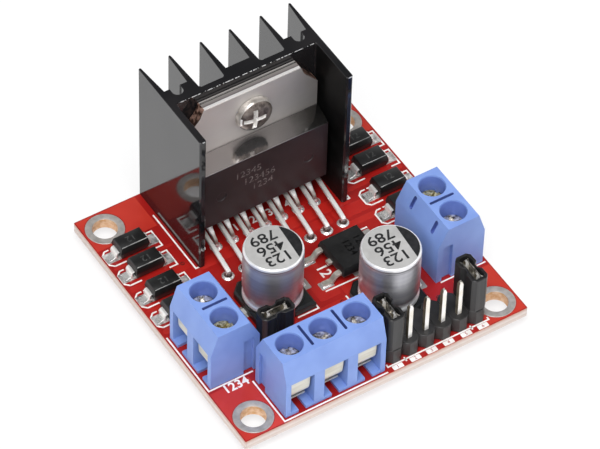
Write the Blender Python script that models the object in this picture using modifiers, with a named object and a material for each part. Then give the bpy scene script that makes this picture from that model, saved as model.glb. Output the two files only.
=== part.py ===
"""DC motor driver module: a square red circuit board that carries a bridge driver chip on a
finned heatsink, two electrolytic capacitors, a 5 V regulator, eight flyback diodes, three blue
screw terminals and a pin header with push-on jumpers.

Sizes are in metres, +Z is up, +X runs along the header edge of the board and +Y points to the
heatsink. The origin is under the middle of the board, level with the cut ends of the solder
tails that the module stands on.
"""
import math

import bmesh
import bpy
from mathutils import Matrix, Vector

mm = 0.001

# board
board_side = 43.0 * mm
board_thickness = 1.6 * mm
tail_length = 1.5 * mm
mount_spacing = 37.0 * mm
mount_hole = 3.4 * mm
mount_ring = 5.3 * mm
ring_height = 0.05 * mm

# clearance that keeps neighbouring solids apart where they seat on each other
seat = 0.05 * mm
hole_clearance = 0.15 * mm

# heatsink
sink_height = 24.0 * mm
sink_centre_x = 0.05 * mm
sink_back_y = 21.5 * mm
sink_wall = 0.95 * mm
sink_wall_reach = 7.5 * mm
sink_plate = 1.0 * mm
sink_boss = 1.2 * mm
sink_fin_length = 6.8 * mm
sink_fin_tip = 0.35 * mm
sink_inner_fin = 2.2 * mm
sink_second_fin_in = 4.6 * mm
sink_claw_in = 2.35 * mm
sink_claw_depth = 1.7 * mm
sink_pin_radius = 0.65 * mm
sink_pin_behind_plate = 1.0 * mm
sink_pin_clearance = 0.1 * mm
sink_pin_height = 9.0 * mm
sink_pin_chamfer = 0.13 * mm
sink_pin_end_chamfer = 0.2 * mm
sink_pin_solder = 0.65 * mm

# driver chip
chip_beside_leads = 0.76 * mm
chip_depth = 3.35 * mm
chip_height = 10.7 * mm
chip_standoff = 3.7 * mm
chip_draft = 0.4 * mm
chip_end_draft = 0.3 * mm
chip_side_gap = 0.55 * mm
tab_thickness = 1.6 * mm
tab_top = 22.6 * mm
tab_slope_width = 2.05 * mm
tab_slope_height = 2.35 * mm
tab_corner_width = 0.65 * mm
tab_corner_height = 1.55 * mm
tab_above_leads = 0.4 * mm
lead_width = 0.7 * mm
lead_thickness = 0.5 * mm
lead_pitch = 2.54 * mm
lead_front_count = 8
lead_front_y = 3.24 * mm
lead_row_gap = 5.08 * mm
lead_front_exit = 1.5 * mm
lead_back_exit = 0.8 * mm
lead_inside_body = 0.6 * mm
lead_straight = 0.35 * mm
lead_bend_z = 2.75 * mm
lead_solder_rise = 0.8 * mm

# screw that clamps the chip to the heatsink
clamp_screw_height = 18.4 * mm
clamp_screw_hole = 3.4 * mm
clamp_screw_shaft = 2.9 * mm
clamp_screw_head = 5.2 * mm
clamp_screw_head_height = 1.5 * mm
clamp_screw_dome = ((0.45, 0.96), (0.8, 0.75), (0.96, 0.42))
clamp_screw_past_boss = 1.0 * mm
clamp_screw_chamfer = 0.4 * mm
cross_length = 3.2 * mm
cross_width = 0.56 * mm
cross_depth = 0.8 * mm

# capacitors
can_diameter = 8.0 * mm
can_top = 10.2 * mm
can_dish_depth = 0.12 * mm
can_rim_width = 0.4 * mm
can_rim_slope = 0.24 * mm
can_shoulder_width = 0.12 * mm
can_shoulder_drop = 0.1 * mm
can_shoulder_height = 0.45 * mm
can_groove_depth = 0.28 * mm
can_groove_top = 1.25 * mm
can_groove_bottom = 0.35 * mm
can_groove_slope = 0.3 * mm
can_curl = 0.15 * mm
can_places = {"left": (-6.1 * mm, -3.15 * mm), "right": (6.85 * mm, -10.85 * mm)}
base_side = 8.3 * mm
base_height = 1.2 * mm
base_corner = 1.3 * mm
foot_reach = 9.9 * mm
foot_width = 0.9 * mm
foot_thickness = 0.3 * mm

# regulator
regulator_x = 6.35 * mm
regulator_y = -2.4 * mm
regulator_length = 6.1 * mm
regulator_width = 6.3 * mm
regulator_height = 2.2 * mm
regulator_end_draft = 0.3 * mm
regulator_side_draft = 0.25 * mm
regulator_tab_width = 5.2 * mm
regulator_tab_reach = 1.0 * mm
regulator_lead_pitch = 2.28 * mm
regulator_lead_reach = 2.6 * mm
regulator_lead_width = 0.8 * mm
regulator_lead_thickness = 0.5 * mm
regulator_lead_height = 1.1 * mm
regulator_lead_inside = 0.8 * mm
regulator_lead_straight = 0.55 * mm
regulator_lead_slope = 0.8 * mm
regulator_tab_under = 4.25 * mm
regulator_tab_corner = 0.8 * mm

# flyback diodes
diode_rows = (13.75 * mm, 9.85 * mm, 5.35 * mm, 1.45 * mm)
diode_columns = {"left": -17.4 * mm, "right": 17.3 * mm}
diode_length = 4.3 * mm
diode_width = 2.6 * mm
diode_height = 2.2 * mm
diode_end_draft = 0.25 * mm
diode_side_draft = 0.18 * mm
diode_reach = 5.2 * mm
diode_foot_inside = 0.9 * mm
diode_lead_width = 1.5 * mm
diode_lead_thickness = 0.2 * mm

# screw terminals, drawn with the wire side towards -Y
terminal_pitch = 5.0 * mm
terminal_depth = 7.3 * mm
terminal_height = 9.7 * mm
terminal_chamfer_top = 1.05 * mm
terminal_chamfer_z = 6.4 * mm
terminal_back_top = 1.5 * mm
terminal_back_z = 6.6 * mm
terminal_back_face = 13.55 * mm
terminal_pole_count = {"left": 2, "front": 3, "right": 2}
terminal_centres = {"left": -6.92 * mm, "front": -7.65 * mm, "right": -6.9 * mm}
terminal_turns = {"left": -90.0, "front": 0.0, "right": 90.0}
well_diameter = 3.5 * mm
well_depth_y = 3.45 * mm
well_overlap = 0.6 * mm
window_width = 3.5 * mm
window_top = 6.1 * mm
window_floor = 0.5 * mm
window_reach = 5.6 * mm
floor_notch = 1.1 * mm
floor_notch_reach = 5.0 * mm
slot_width = 0.3 * mm
slot_depth = 0.4 * mm
slot_start = 1.55 * mm
groove_width = 1.5 * mm
groove_depth = 0.45 * mm
groove_from_back = 1.6 * mm
terminal_screw_head = 3.3 * mm
terminal_screw_top = 7.3 * mm
terminal_screw_head_height = 1.2 * mm
terminal_screw_shaft = 2.4 * mm
terminal_screw_chamfer = 0.25 * mm
terminal_screw_slot = 0.6 * mm
clamp_width = 2.7 * mm
clamp_thickness = 0.5 * mm
clamp_plate_z = 4.8 * mm
clamp_tail_width = 1.0 * mm
clamp_tail_y = 3.9 * mm
clamp_bend = 0.35 * mm
clamp_above_floor = 0.4 * mm
leaf_front = 0.85 * mm
leaf_thickness = 0.35 * mm
leaf_curl = 1.4 * mm
leaf_middle = 0.5
leaf_end = 0.15

# pin headers and jumpers
pin_pitch = 2.54 * mm
pin_side = 0.64 * mm
pin_top = 8.6 * mm
pin_point = 0.4 * mm
pin_point_side = 0.29 * mm
header_height = 2.5 * mm
header_block_gap = 0.04 * mm
header_block_corner = 0.7 * mm
header_columns = 6
header_x = 8.26 * mm
header_front_row_y = -19.2 * mm
supply_header_x = -10.5 * mm
supply_header_y = -10.8 * mm
jumper_width = 2.44 * mm
jumper_length = 4.9 * mm
jumper_height = 6.0 * mm
jumper_wall = 0.42 * mm
jumper_corner = 0.5 * mm
jumper_inner_corner = 0.25 * mm
jumper_waist = 0.45 * mm
jumper_inner_waist = 0.2 * mm
jumper_waist_length = 0.5 * mm
jumper_lobe_from_middle = 0.7 * mm
contact_wall = 0.18 * mm
contact_height = 4.6 * mm
contact_below_top = 0.5 * mm

# small parts soldered flat on the board
chip_part_length = 2.0 * mm
chip_part_width = 1.25 * mm
chip_part_height = 0.8 * mm
chip_part_chamfer = 0.08 * mm
small_parts = {
    "power_led": ((12.1 * mm, -3.3 * mm), 0.0),
    "led_resistor": ((12.1 * mm, -5.5 * mm), 0.0),
    "filter_capacitor_1": ((-1.0 * mm, 1.6 * mm), 0.0),
    "filter_capacitor_2": ((12.1 * mm, -7.7 * mm), 90.0),
}

# solder on the tails
solder_radius = 0.85 * mm
solder_height = 0.9 * mm
solder_edge = 0.01 * mm
tail_end_share = 0.8

# values that follow from those above
chip_width = (lead_front_count - 1) * lead_pitch + lead_width + 2 * chip_beside_leads
sink_width = chip_width + 2 * (chip_side_gap + sink_wall)
sink_second_fin = sink_width / 2 - sink_second_fin_in
sink_claw = sink_width / 2 - sink_claw_in
board_bottom = tail_length
board_top = tail_length + board_thickness
sink_plate_back = sink_back_y - sink_fin_length
sink_plate_front = sink_plate_back - sink_plate
sink_front_y = sink_plate_front - sink_wall_reach
tab_back = sink_plate_front - seat
tab_front = tab_back - tab_thickness
chip_back = tab_front - seat
chip_front = chip_back - chip_depth


def clear_scene():
    for old in list(bpy.data.objects):
        bpy.data.objects.remove(old, do_unlink=True)


def new_collection(name):
    group = bpy.data.collections.new(name)
    bpy.context.scene.collection.children.link(group)
    return group


def material(name, colour, roughness, metallic=0.0):
    mat = bpy.data.materials.new(name)
    mat.use_nodes = True
    shader = mat.node_tree.nodes["Principled BSDF"]
    shader.inputs["Base Color"].default_value = (*colour, 1.0)
    shader.inputs["Roughness"].default_value = roughness
    shader.inputs["Metallic"].default_value = metallic
    return mat


clear_scene()
parts = new_collection("dc_motor_driver_module")
cutters = new_collection("cutters")

red_board = material("red_board", (0.55, 0.035, 0.025), 0.35)
black_anodised = material("black_anodised", (0.02, 0.02, 0.022), 0.35, 0.6)
black_moulding = material("black_moulding", (0.018, 0.015, 0.015), 0.5)
nickel = material("nickel", (0.62, 0.6, 0.58), 0.3, 1.0)
tinned = material("tinned", (0.75, 0.75, 0.76), 0.25, 1.0)
aluminium = material("aluminium", (0.8, 0.8, 0.82), 0.3, 1.0)
blue_plastic = material("blue_plastic", (0.12, 0.2, 0.72), 0.4)
black_plastic = material("black_plastic", (0.015, 0.015, 0.016), 0.45)
clear_red = material("clear_red", (0.8, 0.1, 0.08), 0.2)
ceramic = material("ceramic", (0.5, 0.36, 0.22), 0.5)


def add(name, mesh, mat=None, group=parts, smooth=False):
    """Put a mesh in the scene as a named object, shaded smooth below 35 degrees if asked."""
    thing = bpy.data.objects.new(name, mesh)
    group.objects.link(thing)
    if mat is not None:
        mesh.materials.append(mat)
    if smooth:
        mesh.shade_smooth()
        mesh.set_sharp_from_angle(angle=math.radians(35))
    if group is cutters:
        thing.hide_render = True
        thing.display_type = "WIRE"
    return thing


def finish(name, bm):
    """Turn a bmesh into a mesh with its faces pointing out."""
    bmesh.ops.remove_doubles(bm, verts=bm.verts, dist=1e-7)
    bmesh.ops.recalc_face_normals(bm, faces=bm.faces)
    mesh = bpy.data.meshes.new(name)
    bm.to_mesh(mesh)
    bm.free()
    return mesh


def put_box(bm, low, high):
    """Add a box between two corners to a bmesh."""
    low = Vector(low)
    high = Vector(high)
    middle = Matrix.Translation((low + high) / 2)
    size = Matrix.Diagonal((*(high - low), 1.0))
    return bmesh.ops.create_cube(bm, size=1.0, matrix=middle @ size)["verts"]


def box_mesh(name, low, high, bevel=0.0):
    bm = bmesh.new()
    put_box(bm, low, high)
    if bevel:
        bmesh.ops.bevel(bm, geom=bm.edges[:], offset=bevel, segments=1, affect="EDGES")
    return finish(name, bm)


def put_cylinder(bm, centre, radius, height, sides, axis="Z", radius_top=None):
    """Add a cylinder or cone to a bmesh, centred on a point, along Z or Y."""
    turn = Matrix.Rotation(math.radians(90), 4, "X") if axis == "Y" else Matrix.Identity(4)
    bmesh.ops.create_cone(
        bm,
        cap_ends=True,
        segments=sides,
        radius1=radius,
        radius2=radius if radius_top is None else radius_top,
        depth=height,
        matrix=Matrix.Translation(centre) @ turn,
    )


def circle(x, y, radius, sides):
    """Points round a circle, turned so that flats and not corners face X and Y."""
    step = math.tau / sides
    return [
        (x + radius * math.cos((k + 0.5) * step), y + radius * math.sin((k + 0.5) * step))
        for k in range(sides)
    ]


def rectangle(x0, y0, x1, y1):
    return [(x0, y0), (x1, y0), (x1, y1), (x0, y1)]


def plate_mesh(name, outlines, z0, z1):
    """A flat plate from closed outlines in XY, the first its rim and the others its holes."""
    curve = bpy.data.curves.new(name, "CURVE")
    curve.dimensions = "2D"
    curve.fill_mode = "BOTH"
    curve.extrude = (z1 - z0) / 2
    for outline in outlines:
        spline = curve.splines.new("POLY")
        spline.points.add(len(outline) - 1)
        for point, (x, y) in zip(spline.points, outline):
            point.co = (x, y, 0.0, 1.0)
        spline.use_cyclic_u = True
    guide = bpy.data.objects.new(name, curve)
    bpy.context.scene.collection.objects.link(guide)
    seen = guide.evaluated_get(bpy.context.evaluated_depsgraph_get())
    mesh = bpy.data.meshes.new_from_object(seen)
    bpy.data.objects.remove(guide, do_unlink=True)
    bm = bmesh.new()
    bm.from_mesh(mesh)
    bmesh.ops.remove_doubles(bm, verts=bm.verts, dist=1e-7)
    bmesh.ops.translate(bm, verts=bm.verts, vec=(0.0, 0.0, (z0 + z1) / 2))
    return finish(name, bm)


def bar_mesh(name, rows):
    """A flat bar along a path in YZ, from rows of y, z, width along X and thickness: each section
    stands square to the path's mean direction there."""
    bm = bmesh.new()
    rings = []
    for k, (y, z, width, thickness) in enumerate(rows):
        before = Vector(rows[max(k - 1, 0)][:2])
        after = Vector(rows[min(k + 1, len(rows) - 1)][:2])
        along = (after - before).normalized()
        across = Vector((-along.y, along.x)) * thickness / 2
        half = width / 2
        corners = ((-half, 1), (half, 1), (half, -1), (-half, -1))
        rings.append([bm.verts.new((x, y + s * across.x, z + s * across.y)) for x, s in corners])
    for low, high in zip(rings, rings[1:]):
        for k in range(4):
            bm.faces.new((low[k], low[(k + 1) % 4], high[(k + 1) % 4], high[k]))
    bm.faces.new(rings[0])
    bm.faces.new(rings[-1])
    return finish(name, bm)


def turned(name, profile, mat, steps, group=parts):
    """A turned solid from a profile of (radius, height) points, run from the top down."""
    bm = bmesh.new()
    points = [bm.verts.new((r, 0.0, z)) for r, z in profile]
    for a, b in zip(points, points[1:]):
        bm.edges.new((a, b))
    mesh = bpy.data.meshes.new(name)
    bm.to_mesh(mesh)
    bm.free()
    thing = add(name, mesh, mat, group)
    screw = thing.modifiers.new("turn", "SCREW")
    screw.steps = steps
    screw.render_steps = steps
    screw.use_merge_vertices = True
    screw.merge_threshold = 1e-6
    screw.use_smooth_shade = True
    return thing


def boolean(thing, tool, operation):
    step = thing.modifiers.new(operation.lower(), "BOOLEAN")
    step.operation = operation
    step.object = tool
    step.solver = "EXACT"
    return step


def joined(name, meshes):
    """One cutter object made of several meshes that don't touch each other."""
    bm = bmesh.new()
    for mesh in meshes:
        bm.from_mesh(mesh)
    for mesh in meshes:
        bpy.data.meshes.remove(mesh)
    return add(name, finish(name, bm), group=cutters)


def moved(mesh, x=0.0, y=0.0, z=0.0):
    mesh.transform(Matrix.Translation((x, y, z)))
    return mesh


def tail_stack(side):
    """Thickness of a tail at each height from its cut end up to the board: the bare end, the
    solder cone under the board and the start of the stretch in the hole."""
    cone_top = board_bottom - seat
    return [
        (0.0, side * tail_end_share),
        (cone_top - solder_height, side),
        (cone_top, solder_radius * 2),
        (cone_top + solder_edge, side),
    ]


# where every tail goes through the board, with the tail's diagonal
tail_holes = []


def lead_row(count, y):
    return [((k - (count - 1) / 2) * lead_pitch, y) for k in range(count)]


lead_front = lead_row(lead_front_count, lead_front_y)
lead_back = lead_row(lead_front_count - 1, lead_front_y + lead_row_gap)
lead_diagonal = math.hypot(lead_width, lead_thickness)
tail_holes += [(x, y, lead_diagonal) for x, y in lead_front + lead_back]


def terminal_frame(side):
    """The matrix from a terminal's own frame, whose origin is at its outer face, to the board's."""
    spin = Matrix.Rotation(math.radians(terminal_turns[side]), 4, "Z")
    outward = spin @ Vector((0.0, -terminal_back_face - terminal_depth, board_top))
    along = spin @ Vector((1.0, 0.0, 0.0))
    along *= along.x + along.y
    return Matrix.Translation(outward + along * terminal_centres[side]) @ spin


def pole_places(side):
    poles = terminal_pole_count[side]
    return [(k - (poles - 1) / 2) * terminal_pitch for k in range(poles)]


clamp_tail_diagonal = math.hypot(clamp_tail_width, clamp_thickness)
for side in terminal_pole_count:
    for x in pole_places(side):
        spot = terminal_frame(side) @ Vector((x, clamp_tail_y, 0.0))
        tail_holes.append((spot.x, spot.y, clamp_tail_diagonal))

pin_diagonal = pin_side * math.sqrt(2)
header_pins = {}
for column in range(header_columns):
    x = header_x + (column - (header_columns - 1) / 2) * pin_pitch
    header_pins["control_pin_%d" % (column + 1)] = (x, header_front_row_y)
    if column in (0, header_columns - 1):
        back = "enable_supply_pin_%d" % (1 if column == 0 else 2)
        header_pins[back] = (x, header_front_row_y + pin_pitch)
for k in (0, 1):
    x = supply_header_x + (k - 0.5) * pin_pitch
    header_pins["regulator_enable_pin_%d" % (k + 1)] = (x, supply_header_y)
tail_holes += [(x, y, pin_diagonal) for x, y in header_pins.values()]

sink_pin_x = [sink_centre_x - sink_claw, sink_centre_x + sink_claw]
sink_pin_y = sink_plate_back + sink_pin_behind_plate
tail_holes += [(x, sink_pin_y, sink_pin_radius * 2) for x in sink_pin_x]


# Circuit board: a square plate with four mounting holes, whose tinned rings stand a hair proud on
# both faces, and a small hole for every tail.
def make_board():
    half = board_side / 2
    plate = box_mesh("circuit_board", (-half, -half, board_bottom), (half, half, board_top))
    board = add("circuit_board", plate, red_board)
    rings = bmesh.new()
    holes = bmesh.new()
    middle = (board_bottom + board_top) / 2
    for x, y, diagonal in tail_holes:
        sides = 8
        radius = (diagonal / 2 + hole_clearance) / math.cos(math.pi / sides)
        put_cylinder(holes, (x, y, middle), radius, board_thickness * 2, sides)
    for x in (-mount_spacing / 2, mount_spacing / 2):
        for y in (-mount_spacing / 2, mount_spacing / 2):
            put_cylinder(rings, (x, y, middle), mount_ring / 2, board_thickness + 2 * ring_height, 24)
            put_cylinder(holes, (x, y, middle), mount_hole / 2, board_thickness * 2, 24)
    boolean(board, add("mount_rings", finish("mount_rings", rings), group=cutters), "UNION")
    boolean(board, add("board_holes", finish("board_holes", holes), group=cutters), "DIFFERENCE")


# Heatsink: one extrusion. Its plate carries six fins at the back, the two outer ones run forward
# as well and make a channel for the chip, a boss in the middle takes the screw's thread, and a
# block beside each outer fin has an open slot that grips a fixing pin.
def slot_outline():
    """The slot in one block, from left to right along its back: straight sides and a round end."""
    radius = sink_pin_radius + sink_pin_clearance
    back = sink_plate_back + sink_claw_depth
    steps = 8
    outline = [(sink_claw - radius, back)]
    for k in range(steps + 1):
        angle = math.pi * (1 + k / steps)
        outline.append((sink_claw + radius * math.cos(angle), sink_pin_y + radius * math.sin(angle)))
    return outline + [(sink_claw + radius, back)]


def make_heatsink():
    root = sink_wall / 2
    tip = sink_fin_tip / 2
    face = sink_width / 2
    boss_side = root - (root - tip) * sink_boss / sink_fin_length
    claw_share = sink_claw_depth / sink_fin_length
    claw_back = sink_plate_back + sink_claw_depth
    # right half, from the boss in the middle of the back round to the plate's front
    half = [(sink_inner_fin - boss_side, sink_plate_back + sink_boss)]
    half += [(sink_inner_fin - tip, sink_back_y), (sink_inner_fin + tip, sink_back_y)]
    half += [(sink_inner_fin + root, sink_plate_back), (sink_second_fin - root, sink_plate_back)]
    half += [(sink_second_fin - tip, sink_back_y), (sink_second_fin + tip, sink_back_y)]
    half += [(sink_second_fin + root - (root - tip) * claw_share, claw_back)]
    half += slot_outline()
    half += [(face - sink_wall + (sink_wall - sink_fin_tip) * claw_share, claw_back)]
    half += [(face - sink_fin_tip, sink_back_y)]
    half += [(face, sink_back_y), (face, sink_front_y), (face - sink_wall, sink_front_y)]
    half += [(face - sink_wall, sink_plate_front)]
    outline = [(sink_centre_x + x, y) for x, y in half]
    outline += [(sink_centre_x - x, y) for x, y in half[::-1]]
    bottom = board_top + seat
    mesh = plate_mesh("heatsink", [outline], bottom, bottom + sink_height)
    sink = add("heatsink", mesh, black_anodised)
    hole = bmesh.new()
    centre = (0.0, sink_plate_front + sink_plate / 2, board_top + clamp_screw_height)
    put_cylinder(hole, centre, clamp_screw_shaft / 2 + seat, (sink_plate + sink_boss) * 3, 20, "Y")
    boolean(sink, add("heatsink_thread", finish("heatsink_thread", hole), group=cutters), "DIFFERENCE")
    for name, x in zip(("heatsink_pin_left", "heatsink_pin_right"), sink_pin_x):
        radius = sink_pin_radius
        cone_top = board_bottom - seat
        top = board_top + sink_pin_height
        profile = [(0.0, top), (radius - sink_pin_chamfer, top), (radius, top - 2 * sink_pin_chamfer)]
        profile += [(radius, cone_top), (radius + sink_pin_solder, cone_top)]
        profile += [(radius, cone_top - solder_height), (radius - sink_pin_end_chamfer, 0.0), (0.0, 0.0)]
        pin = turned(name, profile, tinned, 12)
        pin.location = (x, sink_pin_y, 0.0)


# Driver chip: a moulded body with fifteen bent leads in two rows, on a metal tab that the screw
# clamps to the heatsink.
def lead_mesh(name, x, path_top, y):
    """One lead: down from the body along path_top, then straight through the board."""
    rise = board_top + seat
    rows = [(u, z, lead_width, lead_thickness) for u, z in path_top]
    rows.append((y, rise + lead_solder_rise, lead_width, lead_thickness))
    rows.append((y, rise, solder_radius * 2, solder_radius * 2))
    rows.append((y, rise - solder_edge, lead_width, lead_thickness))
    rows += [(y, z, max(size, lead_width), size) for z, size in tail_stack(lead_thickness)[::-1]]
    return moved(bar_mesh(name, rows), x=x)


def make_chip():
    bottom = board_top + chip_standoff
    top = bottom + chip_height
    half = chip_width / 2
    bm = bmesh.new()
    corners = put_box(bm, (-half, chip_front, bottom), (half, chip_back, top))
    for corner in corners:
        if corner.co.y < (chip_front + chip_back) / 2:
            corner.co.x -= math.copysign(chip_draft, corner.co.x)
            corner.co.z -= math.copysign(chip_end_draft, corner.co.z - (bottom + top) / 2)
    body = add("driver_ic_body", finish("driver_ic_body", bm), black_moulding)
    inside = bottom + lead_inside_body
    below = bottom - lead_straight
    bend = board_top + lead_bend_z
    foot = board_top + lead_solder_rise + lead_thickness
    leads = []
    for row, exit_y in ((lead_front, chip_back - lead_front_exit), (lead_back, chip_back - lead_back_exit)):
        for x, y in row:
            path = [(exit_y, inside), (exit_y, below), (exit_y - lead_thickness, bend)]
            path.append((y + lead_thickness, foot))
            leads.append(lead_mesh("lead", x, path, y))
    boolean(body, joined("driver_ic_leads", leads), "UNION")

    tab_z = board_top + tab_top
    corner_z = tab_z - tab_corner_height
    corner_x = half - tab_slope_width
    right = [(half, bottom + tab_above_leads), (half, corner_z - tab_slope_height)]
    right += [(corner_x, corner_z), (corner_x - tab_corner_width, tab_z)]
    outline = right + [(-x, z) for x, z in right[::-1]]
    hole = circle(0.0, board_top + clamp_screw_height, clamp_screw_hole / 2, 24)
    mesh = plate_mesh("driver_ic_tab", [outline, hole], tab_front, tab_back)
    # the outline is drawn in XZ: its height turns into Z and its thickness into Y
    mesh.transform(Matrix(((1, 0, 0, 0), (0, 0, 1, 0), (0, 1, 0, 0), (0, 0, 0, 1))))
    mesh.flip_normals()
    add("driver_ic_tab", mesh, nickel)


# Pan-head screw with a cross recess, through the tab into the heatsink's plate.
def make_clamp_screw():
    head = clamp_screw_head / 2
    shaft = clamp_screw_shaft / 2
    top = seat + clamp_screw_head_height
    end = tab_thickness + 2 * seat + sink_plate + sink_boss + clamp_screw_past_boss
    profile = [(0.0, top)]
    profile += [(head * out, seat + clamp_screw_head_height * up) for out, up in clamp_screw_dome]
    profile += [(head, seat), (shaft, seat), (shaft, clamp_screw_chamfer - end)]
    profile += [(shaft - clamp_screw_chamfer, -end), (0.0, -end)]
    screw = turned("heatsink_screw", profile, nickel, 24)
    screw.location = (0.0, tab_front, board_top + clamp_screw_height)
    screw.rotation_euler = (math.radians(90), 0.0, 0.0)
    cross = bmesh.new()
    arm = cross_length / 2
    blade = cross_width / 2
    put_box(cross, (-arm, -blade, top - cross_depth), (arm, blade, top * 2))
    star = add("cross_recess", finish("cross_recess", cross), group=cutters)
    star.parent = screw
    second = add("cross_recess_turned", star.data.copy(), group=cutters)
    second.parent = screw
    second.rotation_euler = (0.0, 0.0, math.radians(90))
    boolean(screw, star, "DIFFERENCE")
    boolean(screw, second, "DIFFERENCE")


# Electrolytic capacitors: an aluminium can with a rolled rim, on a black base with two metal feet.
def make_capacitor(side):
    x, y = can_places[side]
    radius = can_diameter / 2
    low = base_height + 2 * seat
    top = can_top
    dish = top - can_dish_depth
    rim = radius - can_rim_width
    groove = radius - can_groove_depth
    groove_top = low + can_groove_top
    groove_bottom = low + can_groove_bottom
    profile = [(0.0, dish), (rim - can_rim_slope, dish), (rim, top)]
    profile += [(radius - can_shoulder_width, top - can_shoulder_drop), (radius, top - can_shoulder_height)]
    profile += [(radius, groove_top), (groove, groove_top - can_groove_slope)]
    profile += [(groove, groove_bottom + can_groove_slope), (radius, groove_bottom)]
    profile += [(radius - can_curl, low), (0.0, low)]
    can = turned("capacitor_%s_can" % side, profile, aluminium, 28)
    can.location = (x, y, board_top)
    half = base_side / 2
    cut = half - base_corner
    outline = [(-cut, -half), (half, -half), (half, half), (-cut, half), (-half, cut), (-half, -cut)]
    name = "capacitor_%s_base" % side
    base = add(name, plate_mesh(name, [outline], seat, seat + base_height), black_plastic)
    base.location = (x, y, board_top)
    reach = foot_reach / 2
    wide = foot_width / 2
    low_corner = (-reach, -wide, seat)
    feet = box_mesh("feet", low_corner, (reach, wide, seat + foot_thickness))
    tool = add(name + "_feet", feet, group=cutters)
    tool.parent = base
    boolean(base, tool, "UNION")


# Regulator: a flat moulded body, three leads on one side with the middle one cut short, and a
# metal tab under it that shows on the other side.
def make_regulator():
    half_x = regulator_length / 2
    half_y = regulator_width / 2
    tab_height = regulator_lead_thickness
    low = seat + tab_height + seat
    bm = bmesh.new()
    for corner in put_box(bm, (-half_x, -half_y, low), (half_x, half_y, seat + regulator_height)):
        if corner.co.z > seat + regulator_height / 2:
            corner.co.x -= math.copysign(regulator_end_draft, corner.co.x)
            corner.co.y -= math.copysign(regulator_side_draft, corner.co.y)
    body = add("regulator_body", finish("regulator_body", bm), black_moulding)
    body.location = (regulator_x, regulator_y, board_top)
    mid = seat + regulator_lead_height
    foot = seat + regulator_lead_thickness / 2
    bend = half_x + regulator_lead_straight
    shapes = []
    for k in (-1, 0, 1):
        out = [(half_x - regulator_lead_inside, mid), (bend, mid)]
        if k:
            out += [(bend + regulator_lead_slope, foot), (half_x + regulator_lead_reach, foot)]
        lead = bar_mesh("lead", [(*at, regulator_lead_width, regulator_lead_thickness) for at in out])
        lead.transform(Matrix.Rotation(math.radians(90), 4, "Z"))
        shapes.append(moved(lead, y=k * regulator_lead_pitch))
    leads = joined("regulator_leads", shapes)
    leads.parent = body
    boolean(body, leads, "UNION")
    wide = regulator_tab_width / 2
    inner = half_x - regulator_tab_under
    outer = half_x + regulator_tab_reach
    corner = outer - regulator_tab_corner
    outline = [(inner, -wide), (corner, -wide), (outer, -wide + regulator_tab_corner)]
    outline += [(outer, wide - regulator_tab_corner), (corner, wide), (inner, wide)]
    mesh = plate_mesh("regulator_tab", [outline], seat, seat + tab_height)
    tab = add("regulator_tab", mesh, tinned)
    tab.location = (regulator_x, regulator_y, board_top)


# Flyback diodes: a moulded body with a folded metal foot at each end.
def make_diode(side, number, y):
    name = "diode_%s_%d" % (side, number)
    half_x = diode_length / 2
    half_y = diode_width / 2
    low = seat + diode_lead_thickness
    top = seat + diode_height
    waist = (low + top) / 2
    bm = bmesh.new()
    put_box(bm, (-half_x, -half_y, low), (half_x, half_y, top))
    # the two halves of the mould meet at the waist and both taper away from it
    whole = bm.verts[:] + bm.edges[:] + bm.faces[:]
    bmesh.ops.bisect_plane(bm, geom=whole, plane_co=(0.0, 0.0, waist), plane_no=(0.0, 0.0, 1.0))
    for corner in bm.verts:
        if abs(corner.co.z - waist) > solder_edge:
            corner.co.x -= math.copysign(diode_end_draft, corner.co.x)
            corner.co.y -= math.copysign(diode_side_draft, corner.co.y)
    body = add(name, finish(name, bm), black_moulding)
    body.location = (diode_columns[side], y, board_top)
    shapes = []
    reach = diode_reach / 2
    middle = seat + diode_lead_thickness / 2
    inside = half_x - diode_foot_inside
    out = [(inside, waist), (reach - diode_lead_thickness, waist)]
    out += [(reach - diode_lead_thickness / 2, waist - diode_lead_thickness / 2)]
    out += [(reach - diode_lead_thickness / 2, middle + diode_lead_thickness / 2)]
    out += [(reach - diode_lead_thickness, middle), (inside, middle)]
    for turn in (90, -90):
        foot = bar_mesh("foot", [(*at, diode_lead_width, diode_lead_thickness) for at in out])
        foot.transform(Matrix.Rotation(math.radians(turn), 4, "Z"))
        shapes.append(foot)
    feet = joined(name + "_feet", shapes)
    feet.parent = body
    boolean(body, feet, "UNION")


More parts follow.
